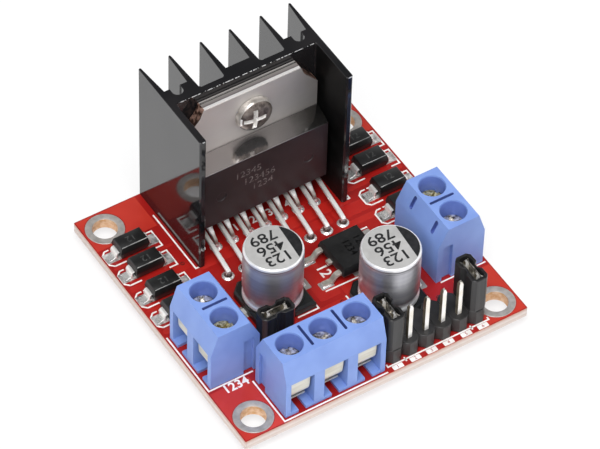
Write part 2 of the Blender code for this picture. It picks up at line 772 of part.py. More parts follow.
# Screw terminals: a blue housing with a well and a wire window for each pole, and in each pole a
# screw over a folded clamp whose tail goes through the board.
def make_terminal(side):
    carrier = bpy.data.objects.new("terminal_%s_frame" % side, None)
    parts.objects.link(carrier)
    carrier.matrix_world = terminal_frame(side)
    length = terminal_pole_count[side] * terminal_pitch
    name = "terminal_%s_housing" % side
    outline = [(0.0, seat), (terminal_depth, seat), (terminal_depth, terminal_back_z)]
    outline += [(terminal_depth - terminal_back_top, terminal_height)]
    outline += [(terminal_chamfer_top, terminal_height), (0.0, terminal_chamfer_z)]
    mesh = plate_mesh(name, [outline], -length / 2, length / 2)
    # the outline is drawn in YZ: depth turns into Y, height into Z and the thickness into X
    mesh.transform(Matrix(((0, 0, 1, 0), (1, 0, 0, 0), (0, 1, 0, 0), (0, 0, 0, 1))))
    housing = add(name, mesh, blue_plastic)
    housing.parent = carrier

    grooves = bmesh.new()
    groove_y = terminal_depth - groove_from_back
    for end in (-length / 2, length / 2):
        put_box(grooves, (end - groove_depth, groove_y - groove_width / 2, -terminal_height),
                (end + groove_depth, groove_y + groove_width / 2, terminal_chamfer_z))

    wells = bmesh.new()
    boxes = bmesh.new()
    well_bottom = window_top - well_overlap
    above = terminal_height * 2
    for x in pole_places(side):
        middle = (x, well_depth_y, (above + well_bottom) / 2)
        put_cylinder(wells, middle, well_diameter / 2, above - well_bottom, 20)
        put_box(boxes, (x - window_width / 2, -terminal_depth, window_floor + seat),
                (x + window_width / 2, window_reach, window_top))
    well_tool = add(name + "_wells", finish("wells", wells), group=cutters)
    window_tool = add(name + "_windows", finish("windows", boxes), group=cutters)
    floors = bmesh.new()
    for x in pole_places(side):
        put_box(floors, (x - floor_notch / 2, -terminal_depth, -terminal_height),
                (x + floor_notch / 2, floor_notch_reach, window_floor * 2))
    floor_tool = add(name + "_floors", finish("floors", floors), group=cutters)
    slots = bmesh.new()
    for k in range(1, terminal_pole_count[side]):
        x = k * terminal_pitch - length / 2
        put_box(slots, (x - slot_width / 2, slot_start, terminal_height - slot_depth),
                (x + slot_width / 2, terminal_depth, above))
    slot_tool = add(name + "_slots", finish("slots", slots), group=cutters)
    groove_tool = add(name + "_grooves", finish("grooves", grooves), group=cutters)
    for tool in (groove_tool, well_tool, window_tool, floor_tool, slot_tool):
        tool.parent = carrier
        boolean(housing, tool, "DIFFERENCE")

    for number, x in enumerate(pole_places(side), 1):
        make_terminal_screw("terminal_%s_screw_%d" % (side, number), carrier, x)
        make_terminal_clamp("terminal_%s_clamp_%d" % (side, number), carrier, x)


def make_terminal_screw(name, carrier, x):
    head = terminal_screw_head / 2
    shaft = terminal_screw_shaft / 2
    top = terminal_screw_top
    under = top - terminal_screw_head_height
    end = clamp_plate_z + clamp_thickness / 2 + seat
    chamfer = terminal_screw_chamfer
    profile = [(0.0, top), (head - chamfer, top), (head, top - chamfer), (head, under), (shaft, under)]
    profile += [(shaft, end + chamfer), (shaft - chamfer, end), (0.0, end)]
    screw = turned(name, profile, tinned, 12)
    screw.parent = carrier
    screw.location = (x, well_depth_y, 0.0)
    half = terminal_screw_slot / 2
    slot = box_mesh("slot", (-half, -head * 2, top - terminal_screw_slot), (half, head * 2, top * 2))
    tool = add(name + "_slot", slot, group=cutters)
    tool.parent = screw
    boolean(screw, tool, "DIFFERENCE")


def make_terminal_clamp(name, carrier, x):
    """Tail, floor plate, back wall, top plate under the screw and the leaf in the window."""
    back = window_reach - clamp_thickness / 2 - 2 * seat
    floor = window_floor + clamp_thickness / 2 + clamp_above_floor
    bend = clamp_bend
    high = clamp_plate_z
    rows = []
    for z, size in tail_stack(clamp_thickness):
        rows.append((clamp_tail_y, z - board_top, max(size, clamp_tail_width), size))
    rows.append((clamp_tail_y, floor - bend, clamp_tail_width, clamp_thickness))
    rows.append((clamp_tail_y + bend, floor, floor_notch - 2 * seat, clamp_thickness))
    folds = [(back - bend, floor), (back, floor + bend), (back, high - bend), (back - bend, high)]
    folds += [(leaf_front + bend, high), (leaf_front, high - bend)]
    rows += [(y, z, clamp_width, clamp_thickness) for y, z in folds]
    for y, share in ((leaf_front + bend, leaf_middle), (leaf_front + leaf_curl, leaf_end)):
        rows.append((y, floor + (high - floor) * share, clamp_width, leaf_thickness))
    clamp = add(name, bar_mesh(name, rows), nickel)
    clamp.parent = carrier
    clamp.location = (x, 0.0, 0.0)


# Headers: a row of eight-sided blocks with square pins through them.
def make_header(name, x, y, columns, rows):
    cut = header_block_corner
    half = (pin_pitch - header_block_gap) / 2
    low = y - rows * pin_pitch / 2 + header_block_gap / 2
    high = y + rows * pin_pitch / 2 - header_block_gap / 2
    bottom = []
    for k in range(columns):
        middle = x + (k - (columns - 1) / 2) * pin_pitch
        bottom += [(middle - half, low + cut), (middle - half + cut, low)]
        bottom += [(middle + half - cut, low), (middle + half, low + cut)]
    top = [(u, low + high - v) for u, v in bottom[::-1]]
    holes = []
    for px, py in header_pins.values():
        if abs(px - x) < columns * pin_pitch / 2 and abs(py - y) < rows * pin_pitch / 2:
            side = pin_side / 2 + seat
            holes.append(rectangle(px - side, py - side, px + side, py + side))
    base = plate_mesh(name, [bottom + top] + holes, board_top + seat, board_top + header_height)
    add(name, base, black_plastic)


def make_pin(name, x, y):
    top = board_top + pin_top
    stack = tail_stack(pin_side) + [(top - pin_point, pin_side), (top, pin_point_side)]
    pin = add(name, bar_mesh(name, [(0.0, z, size, size) for z, size in stack]), nickel)
    pin.location = (x, y, 0.0)


# Jumpers: an open black sleeve over two pins, with a metal contact inside that joins them.
def lobed_outline(half_width, half_length, corner, waist):
    """A rectangle with cut corners that narrows to a waist between its two ends."""
    narrow = half_width - waist
    quarter = [(narrow, jumper_waist_length / 2), (half_width, jumper_lobe_from_middle)]
    quarter += [(half_width, half_length - corner), (half_width - corner, half_length)]
    outline = quarter + [(-u, v) for u, v in quarter[::-1]]
    return outline + [(-u, -v) for u, v in outline]


def make_jumper(name, x, y, turn):
    half_width = jumper_width / 2
    half_length = jumper_length / 2
    wall = jumper_wall
    outer = lobed_outline(half_width, half_length, jumper_corner, jumper_waist)
    hole = lobed_outline(half_width - wall, half_length - wall, jumper_inner_corner, jumper_inner_waist)
    low = board_top + header_height + seat
    shell_name = name + "_shell"
    shell = add(shell_name, plate_mesh(shell_name, [outer, hole], low, low + jumper_height), black_plastic)
    shell.location = (x, y, 0.0)
    shell.rotation_euler = (0.0, 0.0, math.radians(turn))
    gap = pin_side / 2 + seat
    rim = gap + contact_wall
    far = pin_pitch / 2
    ring = rectangle(-rim, -far - rim, rim, far + rim)
    bore = rectangle(-gap, -far - gap, gap, far + gap)
    contact_name = name + "_contact"
    top = low + jumper_height - contact_below_top
    mesh = plate_mesh(contact_name, [ring, bore], top - contact_height, top)
    contact = add(contact_name, mesh, tinned)
    contact.location = (x, y, 0.0)
    contact.rotation_euler = (0.0, 0.0, math.radians(turn))


# Small chip parts: a block with a chamfered rim.
def make_chip_part(name, place, turn, mat):
    half_x = chip_part_length / 2
    half_y = chip_part_width / 2
    low = (-half_x, -half_y, seat)
    mesh = box_mesh(name, low, (half_x, half_y, seat + chip_part_height), chip_part_chamfer)
    part = add(name, mesh, mat)
    part.location = (*place, board_top)
    part.rotation_euler = (0.0, 0.0, math.radians(turn))


make_board()
make_heatsink()
make_chip()
make_clamp_screw()
for side in can_places:
    make_capacitor(side)
make_regulator()
for side in diode_columns:
    for number, y in enumerate(diode_rows, 1):
        make_diode(side, number, y)
for side in terminal_pole_count:
    make_terminal(side)
header_middle_y = header_front_row_y + pin_pitch / 2
make_header("control_header_base", header_x, header_middle_y, header_columns, 2)
make_header("regulator_header_base", supply_header_x, supply_header_y, 2, 1)
for name, (x, y) in header_pins.items():
    make_pin(name, x, y)
make_jumper("jumper_enable_left", header_pins["control_pin_1"][0], header_middle_y, 0.0)
make_jumper("jumper_enable_right", header_pins["control_pin_6"][0], header_middle_y, 0.0)
make_jumper("jumper_regulator", supply_header_x, supply_header_y, 90.0)
for name, (place, turn) in small_parts.items():
    mat = clear_red if name == "power_led" else black_plastic if name == "led_resistor" else ceramic
    make_chip_part(name, place, turn, mat)
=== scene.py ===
"""Looks of a DC motor driver module: a square red circuit board with a bridge driver chip on a
black finned heatsink, two electrolytic capacitors, a regulator, flyback diodes, blue screw
terminals and a pin header with jumpers. Shapes are worked out in millimetres, with z 0 on top
of the board, +X along the header edge and +Y towards the heatsink."""

import math

import bmesh
import bpy
import numpy as np
from mathutils import Matrix, Vector


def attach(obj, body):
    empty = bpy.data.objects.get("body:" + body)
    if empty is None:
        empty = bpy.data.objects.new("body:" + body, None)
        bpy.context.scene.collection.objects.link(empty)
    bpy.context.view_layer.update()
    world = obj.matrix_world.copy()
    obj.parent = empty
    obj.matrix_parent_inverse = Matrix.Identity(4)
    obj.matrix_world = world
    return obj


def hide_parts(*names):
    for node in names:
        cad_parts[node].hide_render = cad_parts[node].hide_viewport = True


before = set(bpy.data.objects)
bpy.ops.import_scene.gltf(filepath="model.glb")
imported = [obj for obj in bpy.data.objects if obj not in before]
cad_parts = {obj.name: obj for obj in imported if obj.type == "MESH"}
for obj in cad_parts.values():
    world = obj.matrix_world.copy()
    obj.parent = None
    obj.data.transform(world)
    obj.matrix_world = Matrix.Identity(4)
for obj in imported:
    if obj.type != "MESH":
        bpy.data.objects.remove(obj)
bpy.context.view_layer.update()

# Camera: a long lens looking down on the front left corner of the board, turned a little about
# its own axis. The angles, distance and roll were fitted to the board's corners and holes.
board_top = 3.1
camera_azimuth = math.radians(-33.6)
camera_elevation = math.radians(48.6)
camera_roll = math.radians(1.87)
camera_distance = 580.0
focal_pixels = 4405.0
photo_width = 600.0
aim = np.array([3.87, 5.92, board_top])
back = np.array([
    math.cos(camera_elevation) * math.sin(camera_azimuth),
    -math.cos(camera_elevation) * math.cos(camera_azimuth),
    math.sin(camera_elevation),
])
level = np.cross(-back, (0.0, 0.0, 1.0))
level /= np.linalg.norm(level)
upright = np.cross(level, -back)
right = math.cos(camera_roll) * level + math.sin(camera_roll) * upright
up = math.cos(camera_roll) * upright - math.sin(camera_roll) * level
camera_data = bpy.data.cameras.new("camera")
camera_data.sensor_fit = "HORIZONTAL"
camera_data.sensor_width = 36.0
camera_data.lens = focal_pixels / photo_width * camera_data.sensor_width
camera_data.clip_start = 0.01
camera_data.clip_end = 20.0
camera = bpy.data.objects.new("camera", camera_data)
bpy.context.scene.collection.objects.link(camera)
place = (aim + camera_distance * back) / 1000.0
camera.matrix_world = Matrix((
    (right[0], up[0], back[0], place[0]),
    (right[1], up[1], back[1], place[1]),
    (right[2], up[2], back[2], place[2]),
    (0.0, 0.0, 0.0, 1.0),
))
bpy.context.scene.camera = camera
bpy.context.scene.view_settings.view_transform = "Standard"


# Stage: a wide white floor under even daylight and two soft lamps. Gloss sees a pale room in
# front of the module and over the floor, and a dark one above and behind it.
world = bpy.data.worlds.new("studio")
bpy.context.scene.world = world
world.use_nodes = True
sky = world.node_tree
sky.nodes.clear()
sky_out = sky.nodes.new("ShaderNodeOutputWorld")
sky_path = sky.nodes.new("ShaderNodeLightPath")
sky_where = sky.nodes.new("ShaderNodeTexCoord")
sky_height = sky.nodes.new("ShaderNodeSeparateXYZ")
sky_ramp = sky.nodes.new("ShaderNodeValToRGB")
sky_ramp.color_ramp.elements[0].color = (0.95, 0.95, 0.97, 1.0)
sky_ramp.color_ramp.elements[1].color = (0.14, 0.14, 0.15, 1.0)
for height, shade in ((0.42, 0.8), (0.62, 0.07)):
    sky_ramp.color_ramp.elements.new(height).color = (shade, shade, shade, 1.0)
sky_side = sky.nodes.new("ShaderNodeVectorMath")
sky_side.operation = "DOT_PRODUCT"
sky_side.inputs[1].default_value = (-0.55, -0.83, 0.0)
sky_share = sky.nodes.new("ShaderNodeMapRange")
sky_share.inputs["From Min"].default_value = -0.1
sky_share.inputs["From Max"].default_value = 0.5
sky_even = sky.nodes.new("ShaderNodeBackground")
sky_even.inputs["Color"].default_value = (0.97, 0.98, 1.0, 1.0)
sky_even.inputs["Strength"].default_value = 0.44
sky_dark = sky.nodes.new("ShaderNodeBackground")
sky_pale = sky.nodes.new("ShaderNodeBackground")
sky_pale.inputs["Color"].default_value = (0.9, 0.9, 0.92, 1.0)
sky_seen = sky.nodes.new("ShaderNodeBackground")
sky_seen.inputs["Color"].default_value = (1.0, 1.0, 1.0, 1.0)
sky_gloss = sky.nodes.new("ShaderNodeMixShader")
sky_mix = sky.nodes.new("ShaderNodeMixShader")
sky_last = sky.nodes.new("ShaderNodeMixShader")
for source, target in (
        (sky_where.outputs["Generated"], sky_height.inputs[0]),
        (sky_height.outputs["Z"], sky_ramp.inputs[0]),
        (sky_ramp.outputs[0], sky_dark.inputs["Color"]),
        (sky_where.outputs["Generated"], sky_side.inputs[0]),
        (sky_side.outputs["Value"], sky_share.inputs[0]),
        (sky_share.outputs[0], sky_gloss.inputs[0]),
        (sky_dark.outputs[0], sky_gloss.inputs[1]),
        (sky_pale.outputs[0], sky_gloss.inputs[2]),
        (sky_path.outputs["Is Glossy Ray"], sky_mix.inputs[0]),
        (sky_even.outputs[0], sky_mix.inputs[1]),
        (sky_gloss.outputs[0], sky_mix.inputs[2]),
        (sky_path.outputs["Is Camera Ray"], sky_last.inputs[0]),
        (sky_mix.outputs[0], sky_last.inputs[1]),
        (sky_seen.outputs[0], sky_last.inputs[2]),
        (sky_last.outputs[0], sky_out.inputs[0])):
    sky.links.new(source, target)

floor_mesh = bpy.data.meshes.new("floor")
floor_half = 1.5
floor_mesh.from_pydata(
    [(-floor_half, -floor_half, 0), (floor_half, -floor_half, 0),
     (floor_half, floor_half, 0), (-floor_half, floor_half, 0)],
    [], [(0, 1, 2, 3)])
floor = bpy.data.objects.new("floor", floor_mesh)
bpy.context.scene.collection.objects.link(floor)
floor_paper = bpy.data.materials.new("white_paper")
floor_paper.use_nodes = True
paper = floor_paper.node_tree
paper_shader = paper.nodes["Principled BSDF"]
paper_shader.inputs["Base Color"].default_value = (0.93, 0.93, 0.93, 1.0)
paper_shader.inputs["Roughness"].default_value = 0.9
paper_glow = paper.nodes.new("ShaderNodeEmission")
paper_path = paper.nodes.new("ShaderNodeLightPath")
paper_any = paper.nodes.new("ShaderNodeMath")
paper_any.operation = "MAXIMUM"
paper_share = paper.nodes.new("ShaderNodeMath")
paper_share.operation = "MULTIPLY"
paper_share.inputs[1].default_value = 0.72
paper_mix = paper.nodes.new("ShaderNodeMixShader")
for source, target in (
        (paper_path.outputs["Is Camera Ray"], paper_any.inputs[0]),
        (paper_path.outputs["Is Glossy Ray"], paper_any.inputs[1]),
        (paper_any.outputs[0], paper_share.inputs[0]),
        (paper_share.outputs[0], paper_mix.inputs[0]),
        (paper_shader.outputs[0], paper_mix.inputs[1]),
        (paper_glow.outputs[0], paper_mix.inputs[2]),
        (paper_mix.outputs[0], paper.nodes["Material Output"].inputs[0])):
    paper.links.new(source, target)
floor_mesh.materials.append(floor_paper)


def hang_lamp(name, where, toward, size, watts):
    """A square lamp at a point in metres, its face turned to another point."""
    data = bpy.data.lights.new(name, "AREA")
    data.size = size
    data.energy = watts
    lamp = bpy.data.objects.new(name, data)
    bpy.context.scene.collection.objects.link(lamp)
    lamp.location = where
    lamp.rotation_euler = (Vector(toward) - Vector(where)).to_track_quat("-Z", "Y").to_euler()


hang_lamp("lamp_above", (-0.14, -0.18, 0.62), (0.0, 0.0, 0.0), 0.4, 3.3)
hang_lamp("lamp_left", (-0.35, -0.3, 0.5), (0.0, 0.0, 0.0), 0.28, 0.9)
hang_lamp("lamp_right", (0.4, -0.25, 0.35), (0.0, 0.0, 0.01), 0.3, 0.5)


# Circuit board: glass-fibre laminate 43 mm square and 1.6 mm thick, red solder mask on both
# faces, its cut edge and the walls of its four mounting holes left bare.
def grid_faces(rows, columns, around):
    """Quads between neighbouring points of a grid; around joins the last column to the first."""
    r, c = np.meshgrid(np.arange(rows - 1), np.arange(columns - 1 + around), indexing="ij")
    following = (c + 1) % columns
    quads = [r * columns + c, r * columns + following]
    quads += [(r + 1) * columns + following, (r + 1) * columns + c]
    return np.stack(quads, axis=-1).reshape(-1, 4).tolist()


def inset(outline, depth):
    """A closed outline moved in by depth: each corner slides along the mitre of its two edges."""
    edge = np.roll(outline, -1, axis=0) - outline
    edge /= np.linalg.norm(edge, axis=1, keepdims=True)
    out = np.stack([edge[:, 1], -edge[:, 0]], axis=1)
    before = np.roll(out, 1, axis=0)
    mitre = (out + before) / (1.0 + np.sum(out * before, axis=1, keepdims=True))
    return outline - depth * mitre


def lofted(sections):
    """A solid through sections of as many points each, given as (outline, height), closed by a
    face at both ends."""
    rows = [np.column_stack([outline, np.full(len(outline), z)]) for outline, z in sections]
    count = len(rows[0])
    faces = grid_faces(len(rows), count, True)
    faces.append(list(range(count))[::-1])
    faces.append([(len(rows) - 1) * count + k for k in range(count)])
    return np.concatenate(rows), faces


def stacked(outline, levels):
    """A solid whose section at each (height, inset) level is the outline moved in by the inset."""
    outline = np.asarray(outline, float)
    return lofted([(inset(outline, d), z) for z, d in levels])


def rounded_rectangle(width, depth, radius, steps):
    """Outline of a rectangle about the origin: four quarter circles, one in each corner."""
    angle = np.linspace(0.0, math.pi / 2, steps)
    angles = (angle + np.arange(4)[:, None] * math.pi / 2).ravel()
    centre_x = np.repeat([1, -1, -1, 1], steps) * (width / 2 - radius)
    centre_y = np.repeat([1, 1, -1, -1], steps) * (depth / 2 - radius)
    return np.column_stack([centre_x + radius * np.cos(angles), centre_y + radius * np.sin(angles)])


def disc(radius, around=64):
    """Points evenly round a circle about the origin."""
    angle = (np.arange(around) + 0.5) * math.tau / around
    return np.column_stack([radius * np.cos(angle), radius * np.sin(angle)])


def moved(shape, x=0.0, y=0.0, z=0.0, turn=0.0, lay=None):
    """A shape first laid on its side, so that its height points along X or back along Y, then
    turned about Z by degrees and shifted."""
    points, faces = shape
    points = np.asarray(points, float)
    if lay == "Y":
        points = points[:, [0, 2, 1]] * (1, -1, 1)
    if lay == "X":
        points = points[:, [2, 0, 1]]
    angle = math.radians(turn)
    c, s = math.cos(angle), math.sin(angle)
    spun = np.column_stack([
        points[:, 0] * c - points[:, 1] * s, points[:, 0] * s + points[:, 1] * c, points[:, 2]])
    return spun + (x, y, z), faces


def mesh_of(shapes):
    """One mesh in metres from shapes given as (shape, finish number), its doubles merged and its
    faces turned outwards."""
    points = np.concatenate([points for (points, _), _ in shapes])
    faces, finish_numbers, start = [], [], 0
    for (shape_points, shape_faces), finish in shapes:
        faces += [[start + corner for corner in face] for face in shape_faces]
        finish_numbers += [finish] * len(shape_faces)
        start += len(shape_points)
    mesh = bpy.data.meshes.new("piece")
    mesh.from_pydata(((points + (0, 0, board_top)) / 1000.0).tolist(), [], faces)
    mesh.polygons.foreach_set("material_index", finish_numbers)
    bm = bmesh.new()
    bm.from_mesh(mesh)
    bmesh.ops.remove_doubles(bm, verts=bm.verts, dist=2e-7)
    bmesh.ops.dissolve_degenerate(bm, edges=bm.edges, dist=1e-7)
    bmesh.ops.recalc_face_normals(bm, faces=bm.faces)
    bm.to_mesh(mesh)
    bm.free()
    return mesh


def carved(shape, hollows):
    """A solid cut by some other shapes, as a mesh in metres."""
    block = bpy.data.objects.new("block", mesh_of([(shape, 0)]))
    bpy.context.scene.collection.objects.link(block)
    tools = []
    for hollow in hollows:
        tool = bpy.data.objects.new("tool", mesh_of([(hollow, 0)]))
        bpy.context.scene.collection.objects.link(tool)
        cut = block.modifiers.new("cut", "BOOLEAN")
        cut.operation = "DIFFERENCE"
        cut.solver = "EXACT"
        cut.object = tool
        tools.append(tool)
    seen = block.evaluated_get(bpy.context.evaluated_depsgraph_get())
    mesh = bpy.data.meshes.new_from_object(seen)
    for thing in tools + [block]:
        bpy.data.objects.remove(thing, do_unlink=True)
    return mesh


def put_piece(name, mesh, finishes, nodes=(), edge=0.0, sharp=35.0):
    """Put a finished mesh in the scene for some CAD nodes, with its long edges rounded by edge
    millimetres, riding on the module's one body."""
    piece = bpy.data.objects.new(name, mesh)
    mesh.name = name
    bpy.context.scene.collection.objects.link(piece)
    for finish in finishes:
        mesh.materials.append(finish)
    mesh.shade_smooth()
    mesh.set_sharp_from_angle(angle=math.radians(sharp))
    if edge:
        rounding = piece.modifiers.new("rounding", "BEVEL")
        rounding.width = edge / 1000.0
        rounding.segments = 2
        rounding.limit_method = "ANGLE"
        rounding.angle_limit = math.radians(40)
        rounding.use_clamp_overlap = True
        rounding.harden_normals = True
    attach(piece, "root")
    if nodes:
        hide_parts(*nodes)


def new_finish(name, colour, roughness, metallic=0.0, coat=0.0):
    """A plain material to be worked up: its base colour, roughness and metal share."""
    finish = bpy.data.materials.new(name)
    finish.use_nodes = True
    shader = finish.node_tree.nodes["Principled BSDF"]
    shader.inputs["Base Color"].default_value = (*colour, 1.0)
    shader.inputs["Roughness"].default_value = roughness
    shader.inputs["Metallic"].default_value = metallic
    shader.inputs["Coat Weight"].default_value = coat
    shader.inputs["Coat Roughness"].default_value = 0.12
    return finish


def add_noise(finish, size, detail=3.0, stretch=(1.0, 1.0, 1.0)):
    """Noise in the piece's own coordinates with features about size millimetres across."""
    nodes, links = finish.node_tree.nodes, finish.node_tree.links
    where = nodes.new("ShaderNodeTexCoord")
    scale = nodes.new("ShaderNodeMapping")
    scale.inputs["Scale"].default_value = stretch
    noise = nodes.new("ShaderNodeTexNoise")
    noise.inputs["Scale"].default_value = 1000.0 / size
    noise.inputs["Detail"].default_value = detail
    links.new(where.outputs["Object"], scale.inputs[0])
    links.new(scale.outputs[0], noise.inputs["Vector"])
    return noise


def tint(finish, size, dark, light, detail=3.0, stretch=(1.0, 1.0, 1.0)):
    """Let the base colour drift between two colours over patches of that size."""
    noise = add_noise(finish, size, detail, stretch)
    ramp = finish.node_tree.nodes.new("ShaderNodeValToRGB")
    ramp.color_ramp.elements[0].position = 0.35
    ramp.color_ramp.elements[0].color = (*dark, 1.0)
    ramp.color_ramp.elements[1].position = 0.65
    ramp.color_ramp.elements[1].color = (*light, 1.0)
    shader = finish.node_tree.nodes["Principled BSDF"]
    finish.node_tree.links.new(noise.outputs[0], ramp.inputs[0])
    finish.node_tree.links.new(ramp.outputs[0], shader.inputs["Base Color"])
    return ramp


def polish(finish, size, smooth, rough, stretch=(1.0, 1.0, 1.0)):
    """Let the roughness drift between two values over patches of that size."""
    noise = add_noise(finish, size, 2.0, stretch)
    span = finish.node_tree.nodes.new("ShaderNodeMapRange")
    span.inputs["From Min"].default_value = 0.3
    span.inputs["From Max"].default_value = 0.7
    span.inputs["To Min"].default_value = smooth
    span.inputs["To Max"].default_value = rough
    shader = finish.node_tree.nodes["Principled BSDF"]
    finish.node_tree.links.new(noise.outputs[0], span.inputs[0])
    finish.node_tree.links.new(span.outputs[0], shader.inputs["Roughness"])


def grain(finish, size, depth, stretch=(1.0, 1.0, 1.0)):
    """Raise a fine grain of that size and depth, both in millimetres."""
    noise = add_noise(finish, size, 4.0, stretch)
    bump = finish.node_tree.nodes.new("ShaderNodeBump")
    bump.inputs["Strength"].default_value = 0.6
    bump.inputs["Distance"].default_value = depth / 1000.0
    shader = finish.node_tree.nodes["Principled BSDF"]
    finish.node_tree.links.new(noise.outputs[0], bump.inputs["Height"])
    finish.node_tree.links.new(bump.outputs[0], shader.inputs["Normal"])


def layers(finish, axis, low, high, stops, drift, size):
    """Colour by place along one axis: the share of the way from low to high, shaken a little by
    noise, picks the colour from (share, colour) stops."""
    nodes, links = finish.node_tree.nodes, finish.node_tree.links
    where = nodes.new("ShaderNodeTexCoord")
    split = nodes.new("ShaderNodeSeparateXYZ")
    share = nodes.new("ShaderNodeMapRange")
    share.inputs["From Min"].default_value = low / 1000.0
    share.inputs["From Max"].default_value = high / 1000.0
    share.inputs["To Min"].default_value = -drift / 2
    share.inputs["To Max"].default_value = 1.0 - drift / 2
    shake = nodes.new("ShaderNodeMath")
    shake.operation = "MULTIPLY_ADD"
    shake.inputs[1].default_value = drift
    ramp = nodes.new("ShaderNodeValToRGB")
    marks = ramp.color_ramp.elements
    for mark, (position, colour) in zip(marks, (stops[0], stops[-1])):
        mark.position = position
        mark.color = (*colour, 1.0)
    for position, colour in stops[1:-1]:
        marks.new(position).color = (*colour, 1.0)
    links.new(where.outputs["Object"], split.inputs[0])
    links.new(split.outputs[axis], share.inputs[0])
    links.new(add_noise(finish, size).outputs[0], shake.inputs[0])
    links.new(share.outputs[0], shake.inputs[2])
    links.new(shake.outputs[0], ramp.inputs[0])
    links.new(ramp.outputs[0], nodes["Principled BSDF"].inputs["Base Color"])


half_board = 21.5
board_thick = 1.6
hole_radius = 1.7
hole_places = [(x, y) for x in (-18.5, 18.5) for y in (-18.5, 18.5)]
red_mask = new_finish("red_mask", (0.34, 0.0085, 0.0066), 0.3, coat=0.2)
tint(red_mask, 9.0, (0.3, 0.0066, 0.0056), (0.38, 0.011, 0.0084), 2.0)
grain(red_mask, 1.4, 0.006)
red_land = new_finish("land_under_mask", (0.42, 0.014, 0.01), 0.3, coat=0.2)
tint(red_land, 7.0, (0.38, 0.01, 0.008), (0.45, 0.018, 0.012), 2.0)
copper_under_mask = new_finish("copper_under_mask", (0.52, 0.034, 0.02), 0.3, coat=0.25)
tint(copper_under_mask, 7.0, (0.47, 0.026, 0.016), (0.56, 0.042, 0.024), 2.0)
grain(copper_under_mask, 1.1, 0.006)
laminate = new_finish("cut_laminate", (0.85, 0.72, 0.6), 0.7)
layers(laminate, "Z", board_top - board_thick, board_top, [
    (0.0, (0.74, 0.66, 0.62)), (0.3, (0.66, 0.54, 0.48)), (0.5, (0.74, 0.66, 0.62)),
    (0.75, (0.64, 0.5, 0.44)), (0.9, (0.58, 0.37, 0.3)), (1.0, (0.5, 0.2, 0.14))], 0.16, 0.35)
grain(laminate, 0.12, 0.02)
bore_wall = new_finish("bare_bore", (0.8, 0.52, 0.32), 0.6)
tint(bore_wall, 0.6, (0.72, 0.42, 0.2), (0.9, 0.66, 0.46), 3.0)
grain(bore_wall, 0.15, 0.02)
tin = new_finish("tinned_copper", (0.42, 0.39, 0.37), 0.5, 0.4)
tint(tin, 0.8, (0.36, 0.335, 0.315), (0.47, 0.44, 0.415))
polish(tin, 0.7, 0.42, 0.58)
grain(tin, 0.5, 0.02)

blank = stacked(rounded_rectangle(2 * half_board, 2 * half_board, 0.12, 3), [(-board_thick, 0), (0, 0)])
bores = [moved(stacked(disc(hole_radius), [(-3, 0), (2, 0)]), x, y) for x, y in hole_places]
board_mesh = carved(blank, bores)
for face in board_mesh.polygons:
    flat_face = abs(face.normal.z) > 0.5
    on_rim = max(abs(face.center.x), abs(face.center.y)) > (half_board - 0.2) / 1000.0
    face.material_index = 0 if flat_face else 1 if on_rim else 2
put_piece("circuit_board_laminate", board_mesh, [red_mask, laminate, bore_wall],
          ["circuit_board"], sharp=30)

# Mounting rings: bare copper pads round the four holes, levelled with solder on both faces.
ring_around = 64
ring_shapes = []
for x, y in hole_places:
    for side in (1, -1):
        z = 0.0 if side == 1 else -board_thick
        ring = np.concatenate([disc(radius, ring_around) for radius in (2.66, 2.6, 1.78, hole_radius)])
        height = np.repeat([0.0, 0.045, 0.05, 0.0], ring_around) * side + z
        ring_faces = grid_faces(4, ring_around, True)
        ring_shapes.append(((np.column_stack([ring + (x, y), height]), ring_faces), 0))
put_piece("mounting_rings", mesh_of(ring_shapes), [tin])


# Traces: copper lands and fills under the mask, which stand a few hundredths of a millimetre
# above the laminate and read lighter than the gaps between them.
def holed_land(x0, y0, x1, y1, x, y, hole):
    """A thin land with a round hole: each ray from the hole's centre runs from the circle out to
    the nearer of the rectangle's two sides that it meets."""
    corners = np.arctan2([y0 - y, y0 - y, y1 - y, y1 - y], [x0 - x, x1 - x, x0 - x, x1 - x])
    angle = np.sort(np.concatenate([0.01 + np.arange(60) * math.tau / 60 - math.pi, corners]))
    ray = np.column_stack([np.cos(angle), np.sin(angle)])
    wide = np.where(ray[:, 0] > 0, x1 - x, x0 - x) / ray[:, 0]
    deep = np.where(ray[:, 1] > 0, y1 - y, y0 - y) / ray[:, 1]
    outer = ray * np.minimum(wide, deep)[:, None] + (x, y)
    inner = ray * hole + (x, y)
    rows = [(inner, 0.001), (inner, trace_height), (outer, trace_height), (outer, 0.001), (inner, 0.001)]
    points = np.concatenate([np.column_stack([o, np.full(len(o), z)]) for o, z in rows])
    return points, grid_faces(5, len(angle), True)


trace_height = 0.018
land_hole = 2.75
copper_lands = [
    (-21.1, -1.2, -12.3, -0.3), (-21.1, 3.1, -12.3, 3.6),
    (-21.1, 7.0, -12.3, 8.0), (-21.1, 11.5, -12.3, 12.0),
    (12.0, 7.4, 21.1, 8.1), (12.0, 11.4, 21.1, 12.0), (-11.3, 5.8, 1.0, 7.6), (1.4, 5.8, 11.5, 7.6),
    (8.4, 2.0, 15.8, 3.0), (8.4, 3.6, 15.8, 5.6), (-0.9, -6.9, 2.2, 1.0),
    (2.6, -8.8, 4.6, -5.9), (-1.8, -13.1, 2.4, -7.7), (0.6, 3.9, 8.0, 5.4),
]
corner_lands = [(-21.35, 15.5, -12.3, 21.35, -18.5, 18.5), (12.4, 15.4, 21.35, 21.35, 18.5, 18.5),
                (-21.35, -21.35, -15.6, -12.6, -18.5, -18.5), (15.6, -21.35, 21.35, -12.7, 18.5, -18.5)]
land_shapes = [(holed_land(*land, land_hole), 1) for land in corner_lands]
